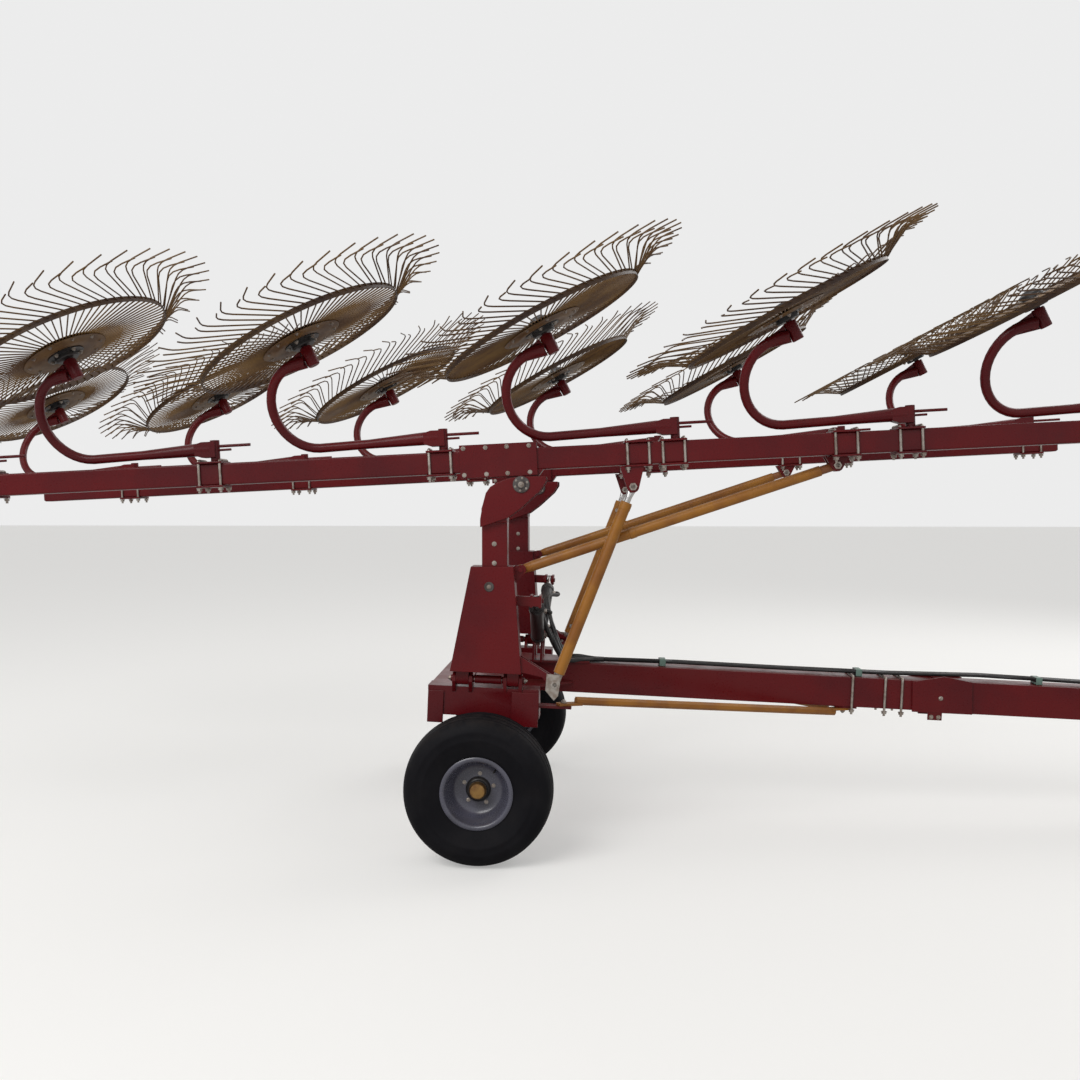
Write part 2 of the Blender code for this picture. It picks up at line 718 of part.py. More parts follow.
def rake_beam():
    """The square beam with its saddle, the arm clamps and the strut brackets."""
    pieces = [block((BEAM_START, -BEAM_HALF, -BEAM_HALF), (BEAM_END, BEAM_HALF, BEAM_HALF), BEAM)]
    forks = []
    for name, plane, foot_x, foot_z, head_x, head_z, barrel_r, rod_r, share in STRUTS:
        local = BEAM.inverted() @ TOWER @ Vector((head_x, 0.0, head_z))
        top = -BEAM_HALF - CLAMP_RISE / 2.0
        lobe = shaped(LOBE_SHARES, local.x, local.z, LOBE_R)
        outline = [(local.x - BRACKET_HALF, top), *lobe, (local.x + BRACKET_HALF, top)]
        forks += fork(local.x, local.z, plane, outline, BEAM, through=False)
        pieces.append(clamp(local.x))
    for index in range(HUBS):
        pivot = hub_station(index) + PIVOT_AHEAD
        pieces.append(clamp(pivot))
        ends = [(pivot, 0.0, BEAM_HALF), (pivot, 0.0, CLAMP_TOP + SLEEVE_TALL + PIN_PAST)]
        pieces.append(bar(ends, PIN_R, PIN_SIDES, BEAM))
    for side in (-1.0, 1.0):
        near = side * (BEAM_HALF - SHELF_STEP)
        far = side * (BEAM_HALF + SADDLE_SIDE)
        outline = [
            (-SADDLE_REAR, -SADDLE_HALF), (SADDLE_FRONT, -SADDLE_HALF),
            (SADDLE_FRONT, SADDLE_HALF), (-SADDLE_REAR, SADDLE_HALF),
        ]
        pieces.append(prism(outline, near, far, "xz", BEAM))
    web = shaped(WEB_SHARES, 0.0, 0.0, WEB_HALF, WEB_DROP)
    pieces.append(prism(web, -WEB_THICK_HALF, WEB_THICK_HALF, "xz", BEAM))
    pieces.append(bar([(0.0, -BOSS_HALF, HEAD_PIN_Z), (0.0, BOSS_HALF, HEAD_PIN_Z)], BOSS_R, HEAD_PIN_SIDES, TOWER))
    beam = joined(*pieces, *forks)
    past = BOSS_HALF + CUT_PAST
    return cut(beam, pin_bore([(0.0, -past, HEAD_PIN_Z), (0.0, past, HEAD_PIN_Z)], HEAD_PIN_R, HEAD_PIN_SIDES, TOWER))


def fold_cylinder_at():
    """Place of the fold cylinder's plane along the fold axis, and the faces of the plates beside its eyes."""
    at = (FOLD_CYL_X - FOLD_X) / math.cos(math.atan(FRAME_SLOPE))
    inner = EYE_HALF + FORK_GAP
    return at, inner, inner + PLATE


def pedestal():
    """The trapezoid foot of the tower with its hinge lugs and the lugs of three cylinders."""
    foot = [
        (-PEDESTAL_REAR, axis_z(-PEDESTAL_REAR) + PEDESTAL_FOOT),
        (-PEDESTAL_FRONT, axis_z(-PEDESTAL_FRONT) + PEDESTAL_FOOT),
        (-PEDESTAL_TOP_FRONT, PEDESTAL_TOP), (-PEDESTAL_TOP_REAR, PEDESTAL_TOP),
    ]
    pieces = [prism(foot, -PEDESTAL_HALF, PEDESTAL_HALF, "xz", TOWER)]
    lug = shaped(TOWER_LUG_SHARES, 0.0, 0.0, HINGE_R)
    for low, high in HINGE_SPANS:
        pieces.append(prism(lug, low + LUG_PLAY, high - LUG_PLAY, "yz", FOLD))
    width, opening = STRUTS
    lug = shaped(WIDTH_LUG_SHARES, width[2], width[3], LOBE_R)
    pieces += fork(width[2], width[3], width[1], lug, TOWER)
    x, z = opening[2], opening[3]
    rear, front = [
        [(x * across, axis_z(x * across) + x * up) for across, up in shares]
        for shares in (ARM_REAR_SHARES, ARM_FRONT_SHARES)
    ]
    pieces += fork(x, z, opening[1], rear + shaped(ARM_TIP_SHARES, x, z, LOBE_R) + front, TOWER)
    at, inner, outer = fold_cylinder_at()
    y, z = FOLD_CYL_OUT_Y, FOLD_CYL_OUT_Z - axis_z(FOLD_CYL_X)
    lug = [(SHELF_NEAR, z - LOBE_R), *shaped(TOWER_LOBE_SHARES, y, z, LOBE_R), (SHELF_NEAR, z + LOBE_R)]
    for side in (-1.0, 1.0):
        pieces.append(prism(lug, at + side * inner, at + side * outer, "yz", FOLD))
        ends = [(at + side * (inner + SEAT), y, z), (at + side * (outer + PIN_PAST), y, z)]
        pieces.append(bar(ends, PIN_R, PIN_SIDES, FOLD))
    shelf = [
        (SHELF_NEAR, z - SHELF_HALF), (SHELF_FAR, z - SHELF_HALF),
        (SHELF_FAR, z + SHELF_HALF), (SHELF_NEAR, z + SHELF_HALF),
    ]
    pieces.append(prism(shelf, at - SHELF_LONG, at + outer - SHELF_STEP, "yz", FOLD))
    body = joined(*pieces)
    play = POST_HALF + POCKET_PLAY
    pocket = block((-POST_BACK - play, -play, POST_FOOT), (-POST_BACK + play, play, PEDESTAL_TOP + CUT_PAST), TOWER)
    reach = HINGE_SPANS[1][1] - HINGE_SPANS[0][0]
    return cut(body, pocket, pin_bore([(-reach, 0.0, 0.0), (reach, 0.0, 0.0)], FOLD_PIN_R, FOLD_PIN_SIDES, FOLD))


def post():
    """The square post with its head: a collar, two cheeks and the head pin."""
    low, high = -POST_BACK - POST_HALF, -POST_BACK + POST_HALF
    pieces = [
        block((low, -POST_HALF, POST_FOOT + SEAT), (high, POST_HALF, POST_TOP), TOWER),
        block((low - COLLAR_X, -COLLAR_Y, COLLAR_LOW), (high + COLLAR_X, COLLAR_Y, COLLAR_LOW + COLLAR_TALL), TOWER),
    ]
    cheek = shaped(CHEEK_SHARES, 0.0, HEAD_PIN_Z, CHEEK_LONG)
    for side in (-1.0, 1.0):
        pieces.append(prism(cheek, side * CHEEK_IN, side * CHEEK_OUT, "xz", TOWER))
        ends = [(0.0, side * (CHEEK_IN + SHELF_STEP), HEAD_PIN_Z), (0.0, side * (CHEEK_OUT + PLATE), HEAD_PIN_Z)]
        pieces.append(bar(ends, CHEEK_R, HEAD_PIN_SIDES, TOWER))
    ends = [(0.0, -CHEEK_OUT, HEAD_PIN_Z), (0.0, CHEEK_OUT, HEAD_PIN_Z)]
    pieces.append(bar(ends, HEAD_PIN_R, HEAD_PIN_SIDES, TOWER))
    return joined(*pieces)


def main_frame():
    """The cross beam with its side boxes, hinge lugs, wheel legs and stub axles."""
    lap = BOX_IN + CROSS_LAP
    pieces = [sloped_box(-CROSS_REAR, -CROSS_FRONT, -lap, lap, -BOX_DEEP, BOX_TOP - CROSS_STEP)]
    level = DRAWBAR_HALF + SEAT
    pieces.append(sloped_box(-CROSS_REAR + SINK, -CROSS_FRONT - SINK, -YOKE_HALF, YOKE_HALF, 0.0, level + PLATE / 2.0))
    top = [
        (-CROSS_REAR, -TOP_PLATE_REAR_HALF), (-CROSS_FRONT, -TOP_PLATE_HALF), (TOP_PLATE_NOSE, -DRAWBAR_HALF),
        (TOP_PLATE_NOSE, DRAWBAR_HALF), (-CROSS_FRONT, TOP_PLATE_HALF), (-CROSS_REAR, TOP_PLATE_REAR_HALF),
    ]
    pieces.append(prism(top, level, level + PLATE, "xy", SLOPE))
    for side in (-1.0, 1.0):
        pieces.append(sloped_box(-BOX_REAR, BOX_FRONT, side * BOX_IN, side * BOX_OUT, -BOX_DEEP, BOX_TOP))
        top = frame_z(AXLE_X) - BOX_DEEP + CROSS_LAP
        outline = [
            (AXLE_X - WHEEL_LEG_HALF, TYRE_Z - WHEEL_LEG_DROP), (AXLE_X + WHEEL_LEG_HALF, TYRE_Z - WHEEL_LEG_DROP),
            (AXLE_X + WHEEL_LEG_HALF, top), (AXLE_X - WHEEL_LEG_HALF, top),
        ]
        pieces.append(prism(outline, side * WHEEL_LEG_IN, side * WHEEL_LEG_OUT, "xz", MAIN))
        ends = [(AXLE_X, side * (WHEEL_LEG_OUT - SINK), TYRE_Z), (AXLE_X, side * (TYRE_Y + AXLE_PAST), TYRE_Z)]
        pieces.append(bar(ends, AXLE_R, FOLD_PIN_SIDES, MAIN))
        near, far = side * (DRAWBAR_HALF + SEAT), side * SIDE_GUSSET_OUT
        gusset = [
            (-SIDE_GUSSET_BACK, near), (SIDE_GUSSET_LONG, near), (-SIDE_GUSSET_TIP_BACK, far), (-SIDE_GUSSET_BACK, far),
        ]
        pieces.append(prism(gusset, -SIDE_GUSSET_DEEP, PLATE - SIDE_GUSSET_DEEP, "xy", SLOPE))
        pieces.append(sloped_box(BOX_FRONT - SINK, STAY_PLATE_FRONT, side * STAY_PLATE_IN, side * STAY_PLATE_OUT,
                                 -STAY_PLATE_DEEP - PLATE, -STAY_PLATE_DEEP))
    at, inner, outer = fold_cylinder_at()
    y, z = FOLD_CYL_IN_Y, FOLD_CYL_IN_Z - axis_z(FOLD_CYL_X)
    for hinge in (FOLD, MIRROR @ FOLD):
        lug = shaped(FRAME_LUG_SHARES, 0.0, 0.0, HINGE_R)
        for low, high in HINGE_SPANS:
            pieces.append(prism(lug, low - HINGE_PLATE, low, "yz", hinge))
            pieces.append(prism(lug, high, high + HINGE_PLATE, "yz", hinge))
            ends = [(low - HINGE_PLATE - PIN_PAST, 0.0, 0.0), (high + HINGE_PLATE + PIN_PAST, 0.0, 0.0)]
            pieces.append(bar(ends, FOLD_PIN_R, FOLD_PIN_SIDES, hinge))
        horn = shaped(FRAME_HORN_SHARES, y, z, LOBE_R)
        pieces.append(prism(horn, at - outer, at - inner, "yz", hinge))
        pieces.append(prism(horn, at + inner, at + outer, "yz", hinge))
        pieces.append(bar([(at - outer - PIN_PAST, y, z), (at + outer + PIN_PAST, y, z)], PIN_R, PIN_SIDES, hinge))
    return joined(*pieces)


def tyre():
    """The tyre, on the right."""
    half = [(BEAD_R, BEAD_HALF), (LIP_R + RUN_GAP, LIP_HALF - RIM_PLAY)]
    half += [(BEAD_R + (TYRE_R - BEAD_R) * across, TYRE_HALF * out) for across, out in TYRE_SHARES]
    profile = [(radius, -out) for radius, out in half] + [(radius, out) for radius, out in reversed(half)]
    return turned(profile, TYRE_SIDES, HUB, "y"), spot(HUB)


def rim():
    """The rim with its disc, hub and cap, bored for the stub axle; negative heights are outboard."""
    seat_r, seat_half = BEAD_R * math.cos(math.pi / TYRE_SIDES) - SEAT, BEAD_HALF + RIM_PLAY
    face = LIP_HALF + LIP_THICK
    hole = bore(AXLE_R, RIM_SIDES)
    profile = [(LIP_R * across, face * out) for across, out in DISC_FACE_SHARES]
    profile += [(LIP_R, -face), (LIP_R, -LIP_HALF), (seat_r, -seat_half)]
    profile += [(seat_r, seat_half), (LIP_R, LIP_HALF), (LIP_R, face)]
    profile += [(LIP_R * across, face * out) for across, out in DISC_BACK_SHARES]
    profile += [(hole, profile[-1][1]), (hole, -RIM_BORE_END), (0.0, -RIM_BORE_END)]
    return turned(profile, RIM_SIDES, HUB, "y"), spot(HUB)


def drawbar():
    """The rear length of the drawbar with the pad of its stays."""
    half = DRAWBAR_HALF
    pieces = [sloped_box(-DRAWBAR_BACK, SPLICE_X, -half, half, -half, half)]
    pieces.append(sloped_box(STAY_FRONT_X - PAD_REAR, STAY_FRONT_X + PAD_FRONT, -PAD_HALF, PAD_HALF, -half - PAD_THICK, 0.0))
    return joined(*pieces)


def drawbar_nose():
    """The front length of the drawbar with the fish plates that lap the rear one."""
    half = DRAWBAR_HALF
    middle = frame_z(SPLICE_X)
    pieces = [sloped_box(SPLICE_X + SEAT, DRAWBAR_FRONT, -half, half, -half - NOSE_STEP, half + NOSE_STEP)]
    fish = [
        (SPLICE_X - FISH_REAR, middle - half), (SPLICE_X + FISH_FRONT, middle - half - FISH_DROP),
        (SPLICE_X + FISH_FRONT, middle + half), (SPLICE_X + FISH_TOP_X, middle + half + FISH_TOP),
        (SPLICE_X - FISH_REAR, middle + half),
    ]
    for side in (-1.0, 1.0):
        pieces.append(prism(fish, side * (half + SEAT), side * (half + PLATE), "xz", MAIN))
    tie = half + PLATE - SHELF_STEP
    pieces.append(sloped_box(SPLICE_X + TIE_REAR, SPLICE_X + TIE_FRONT, -tie, tie, -TIE_HALF, TIE_HALF))
    return joined(*pieces)


def tow_eye():
    """The hitch: a flange bolted to the drawbar's end and a ring for the tractor's pin."""
    z = frame_z(DRAWBAR_FRONT)
    wide, tall = DRAWBAR_HALF + FLANGE_LAP, DRAWBAR_HALF + PLATE
    front = DRAWBAR_FRONT + FLANGE_THICK
    pieces = [block((DRAWBAR_FRONT + SEAT, -wide, z - tall), (front, wide, z + tall), MAIN)]
    pieces.append(block((front - SINK, -SHANK_HALF, z - EYE_TALL_HALF), (EYE_X - EYE_RING_R + SINK, SHANK_HALF, z + EYE_TALL_HALF), MAIN))
    pieces.append(bar([(EYE_X, 0.0, z - EYE_TALL_HALF), (EYE_X, 0.0, z + EYE_TALL_HALF)], EYE_RING_R, 20, MAIN))
    past = EYE_TALL_HALF + CUT_PAST
    return cut(joined(*pieces), bar([(EYE_X, 0.0, z - past), (EYE_X, 0.0, z + past)], EYE_HOLE_R, 16, MAIN))


def stay():
    """One diagonal stay with flattened ends, on the right; each end lies along the slope of the frame."""
    half = TAB_HALF
    rear_z = frame_z(STAY_REAR_X) - STAY_PLATE_DEEP + half + SEAT
    front_z = frame_z(STAY_FRONT_X) - DRAWBAR_HALF - PAD_THICK - half - SEAT
    rear = Vector((STAY_REAR_X, -STAY_REAR_OUT, rear_z))
    front = Vector((STAY_FRONT_X, -STAY_FRONT_OUT, front_z))
    run = (front - rear).to_2d().normalized()
    along = Vector((run.x, run.y, -FRAME_SLOPE * run.x)).normalized()
    upright = Vector((FRAME_SLOPE, 0.0, 1.0)).normalized()
    side = upright.cross(along).normalized()
    tabs = []
    for centre, low, high in ((rear, -TAB_PAST, TAB_LONG), (front, -TAB_LONG, TAB_PAST)):
        frame = Matrix((
            (along.x, side.x, upright.x, centre.x), (along.y, side.y, upright.y, centre.y),
            (along.z, side.z, upright.z, centre.z), (0.0, 0.0, 0.0, 1.0),
        ))
        tabs.append(block((low, -TAB_WIDE, -half), (high, TAB_WIDE, half), MAIN @ frame))
    drop = Vector((0.0, 0.0, STAY_DROP))
    start = rear + along * TAB_LAP + drop
    return joined(bar([start, front - along * TAB_LAP - drop], STAY_R, EYE_SIDES, MAIN), *tabs)


def jack_outer():
    """The parking jack's case, clamped to the left of the drawbar, with its crank."""
    z = frame_z(JACK_X)
    low, high = (JACK_X - JACK_HALF, JACK_Y - JACK_HALF), (JACK_X + JACK_HALF, JACK_Y + JACK_HALF)
    case = block((*low, JACK_FOOT), (*high, JACK_TOP), MAIN)
    arm = block((JACK_X - JACK_ARM_X, DRAWBAR_HALF + SEAT, z - JACK_ARM_Z),
                (JACK_X + JACK_ARM_X, low[1] + NOSE_STEP, z + JACK_ARM_Z), MAIN)
    path = [(x, JACK_Y, up) for x, up in shaped(CRANK_SHARES, JACK_X, JACK_TOP, CRANK_LONG)]
    body = joined(case, arm, bar(path, CRANK_R, 6, MAIN))
    play = JACK_LEG_HALF + SLIDE_PLAY
    hole = block((JACK_X - play, JACK_Y - play, JACK_FOOT - CUT_PAST), (JACK_X + play, JACK_Y + play, JACK_TOP - JACK_CAP), MAIN)
    return cut(body, hole)


def jack_leg():
    """The jack's sliding leg with its foot plate on the ground."""
    half, wide = JACK_LEG_HALF, JACK_PLATE_HALF
    leg = block((JACK_X - half, JACK_Y - half, JACK_PLATE / 2.0), (JACK_X + half, JACK_Y + half, JACK_LEG_TOP), MAIN)
    plate = block((JACK_X - wide, JACK_Y - wide, 0.0), (JACK_X + wide, JACK_Y + wide, JACK_PLATE), MAIN)
    return joined(leg, plate), spot(MAIN, JACK_X, JACK_Y, 0.0)


def hoses():
    """The hydraulic hoses laid on the drawbar, held together by their clips."""
    pieces = []
    for side in (-1.0, 1.0):
        path = []
        for along, lift in HOSE_SHARES:
            x = along * DRAWBAR_FRONT
            path.append((x, side * HOSE_GAP / 2.0, frame_z(x) + DRAWBAR_HALF + lift * HOSE_R))
        pieces.append(bar(path, HOSE_R, HOSE_SIDES, MAIN))
    for along in CLIP_SHARES:
        x = along * DRAWBAR_FRONT
        seat = DRAWBAR_HALF + (NOSE_STEP if x > SPLICE_X else 0.0) + SEAT
        pieces.append(sloped_box(x - CLIP_HALF, x + CLIP_HALF, -CLIP_WIDE, CLIP_WIDE, seat, seat + CLIP_TALL))
    return joined(*pieces)


head_spot = spot(TOWER, 0.0, 0.0, HEAD_PIN_Z)
both_sides("rake_beam", rake_beam(), "crimson", head_spot)
both_sides("tower_pedestal", pedestal(), "crimson", spot(FOLD))
both_sides("tower_post", post(), "crimson", spot(FOLD))
for number in range(HUBS):
    wheel, centre = rake_wheel(number)
    both_sides("rake_wheel_" + str(number + 1), wheel, "golden", centre)
    both_sides("wheel_arm_" + str(number + 1), wheel_arm(number), "crimson", head_spot)
across_tower = TOWER.to_3x3() @ Vector((0.0, 1.0, 0.0))
for name, plane, foot_x, foot_z, head_x, head_z, barrel_r, rod_r, share in STRUTS:
    telescope(name, spot(TOWER, foot_x, plane, foot_z), spot(TOWER, head_x, plane, head_z), across_tower,
              barrel_r, rod_r, share, ("ochre", "steel"))
at = fold_cylinder_at()[0]
inboard = spot(FOLD, at, FOLD_CYL_IN_Y, FOLD_CYL_IN_Z - axis_z(FOLD_CYL_X))
outboard = spot(FOLD, at, FOLD_CYL_OUT_Y, FOLD_CYL_OUT_Z - axis_z(FOLD_CYL_X))
along_fold = FOLD.to_3x3() @ Vector((1.0, 0.0, 0.0))
telescope("fold_cylinder", inboard, outboard, along_fold, FOLD_CYL_R, FOLD_ROD_R, FOLD_SHARE, ("black", "steel"))
shape, centre = tyre()
both_sides("tyre", shape, "rubber", centre)
shape, centre = rim()
both_sides("rim", shape, "grey", centre)
both_sides("diagonal_stay", stay(), "ochre")
finish("main_frame", main_frame(), "crimson")
finish("drawbar", drawbar(), "crimson")
finish("drawbar_nose", drawbar_nose(), "crimson")
finish("tow_eye", tow_eye(), "black")
finish("jack_outer", jack_outer(), "crimson")
leg, foot_spot = jack_leg()
finish("jack_leg", leg, "steel", foot_spot)
finish("hydraulic_hoses", hoses(), "black")
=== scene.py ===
import json
import math
import bmesh
import bpy
from mathutils import Matrix, Vector
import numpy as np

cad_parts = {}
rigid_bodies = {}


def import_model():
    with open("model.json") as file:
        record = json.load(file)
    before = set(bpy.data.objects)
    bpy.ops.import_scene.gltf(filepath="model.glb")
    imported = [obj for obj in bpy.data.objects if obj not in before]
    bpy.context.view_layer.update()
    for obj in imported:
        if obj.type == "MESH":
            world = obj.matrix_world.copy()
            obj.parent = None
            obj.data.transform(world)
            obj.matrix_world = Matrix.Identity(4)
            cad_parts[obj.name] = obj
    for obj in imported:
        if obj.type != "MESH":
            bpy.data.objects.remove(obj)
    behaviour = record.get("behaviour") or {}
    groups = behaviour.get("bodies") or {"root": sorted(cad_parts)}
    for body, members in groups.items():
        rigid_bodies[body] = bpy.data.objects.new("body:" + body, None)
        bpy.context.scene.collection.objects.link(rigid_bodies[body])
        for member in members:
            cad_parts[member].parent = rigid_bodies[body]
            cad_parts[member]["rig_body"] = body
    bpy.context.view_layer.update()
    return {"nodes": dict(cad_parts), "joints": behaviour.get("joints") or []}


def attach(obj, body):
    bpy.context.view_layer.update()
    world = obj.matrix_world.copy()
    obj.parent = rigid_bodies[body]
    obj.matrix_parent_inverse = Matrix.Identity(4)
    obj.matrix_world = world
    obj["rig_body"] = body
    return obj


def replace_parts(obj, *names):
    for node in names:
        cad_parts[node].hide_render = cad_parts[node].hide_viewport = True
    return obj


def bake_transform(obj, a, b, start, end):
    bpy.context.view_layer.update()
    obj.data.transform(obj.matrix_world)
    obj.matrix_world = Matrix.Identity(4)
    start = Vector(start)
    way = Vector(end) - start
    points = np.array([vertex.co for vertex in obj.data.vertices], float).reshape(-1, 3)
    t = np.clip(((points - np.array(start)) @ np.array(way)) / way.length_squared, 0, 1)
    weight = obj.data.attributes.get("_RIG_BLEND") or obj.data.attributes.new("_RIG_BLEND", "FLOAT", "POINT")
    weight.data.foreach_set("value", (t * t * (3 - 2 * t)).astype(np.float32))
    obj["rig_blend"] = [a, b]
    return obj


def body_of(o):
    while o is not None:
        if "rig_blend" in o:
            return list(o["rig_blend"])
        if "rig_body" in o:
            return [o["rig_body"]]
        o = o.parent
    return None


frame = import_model()
scene = bpy.context.scene
print("frame loaded:", len(frame["nodes"]), "solids")

# the camera stands where the photograph was taken, and the lamps are soft and plain
cameraView = {
    "place": (0.1876, -5.6461, 1.6308), "yaw": 0.0554, "pitch": -0.0377, "lens": 35.89, "sensor": 36.0,
    "far": 300.0,
}
studio = {
    "skyLight": 0.50, "backdrop": (0.84, 0.84, 0.84), "floor": (0.60, 0.59, 0.57), "floorGlow": 0.34,
    "floorHalf": 60.0, "floorRough": 0.9, "floorTint": (1.0, 1.0, 0.99),
    "lamps": {
        "keyLamp": {"place": (-4.5, -7.5, 8.0), "target": (0.0, 0.0, 1.2), "power": 620.0, "size": 6.0},
        "fillLamp": {"place": (7.0, 5.0, 7.0), "target": (0.0, 0.0, 1.4), "power": 300.0, "size": 6.0},
    },
}

camera = bpy.data.objects.new("camera", bpy.data.cameras.new("camera"))
camera.data.lens = cameraView["lens"]
camera.data.sensor_width = cameraView["sensor"]
camera.data.clip_end = cameraView["far"]
camera.location = cameraView["place"]
camera.rotation_euler = (math.pi / 2 + cameraView["pitch"], 0.0, cameraView["yaw"])
scene.collection.objects.link(camera)
scene.camera = camera
scene.view_settings.view_transform = "Standard"


def addLamp(name, place, target, power, size):
    lamp = bpy.data.objects.new(name, bpy.data.lights.new(name, "AREA"))
    lamp.data.energy = power
    lamp.data.size = size
    lamp.location = place
    lamp.rotation_euler = (Vector(target) - Vector(place)).to_track_quat("-Z", "Y").to_euler()
    scene.collection.objects.link(lamp)


for lampName, lamp in studio["lamps"].items():
    addLamp(lampName, **lamp)


def startNodes(owner):
    owner.use_nodes = True
    return owner.node_tree.nodes, owner.node_tree.links


def buildSky():
    scene.world = bpy.data.worlds.new("studio")
    nodes, links = startNodes(scene.world)
    nodes.clear()
    out = nodes.new("ShaderNodeOutputWorld")
    mix = nodes.new("ShaderNodeMixShader")
    lighting = nodes.new("ShaderNodeBackground")
    lighting.inputs["Color"].default_value = (1.0, 1.0, 1.0, 1.0)
    lighting.inputs["Strength"].default_value = studio["skyLight"]
    backdrop = nodes.new("ShaderNodeBackground")
    backdrop.inputs["Color"].default_value = (*studio["backdrop"], 1.0)
    ray = nodes.new("ShaderNodeLightPath")
    seen = nodes.new("ShaderNodeMath")
    seen.operation = "MAXIMUM"
    links.new(ray.outputs["Is Camera Ray"], seen.inputs[0])
    links.new(ray.outputs["Is Glossy Ray"], seen.inputs[1])
    links.new(seen.outputs[0], mix.inputs[0])
    links.new(lighting.outputs[0], mix.inputs[1])
    links.new(backdrop.outputs[0], mix.inputs[2])
    links.new(mix.outputs[0], out.inputs[0])


buildSky()
print("camera and light set")

# each finish is a coat with faded patches, dust on what faces up, chips along edges and a fine grain
plainCoat = {"metal": 0.0, "gloss": 0.5, "edge": 0.0, "grain": 0.08, "dustShare": 0.30, "chipShare": 0.45}
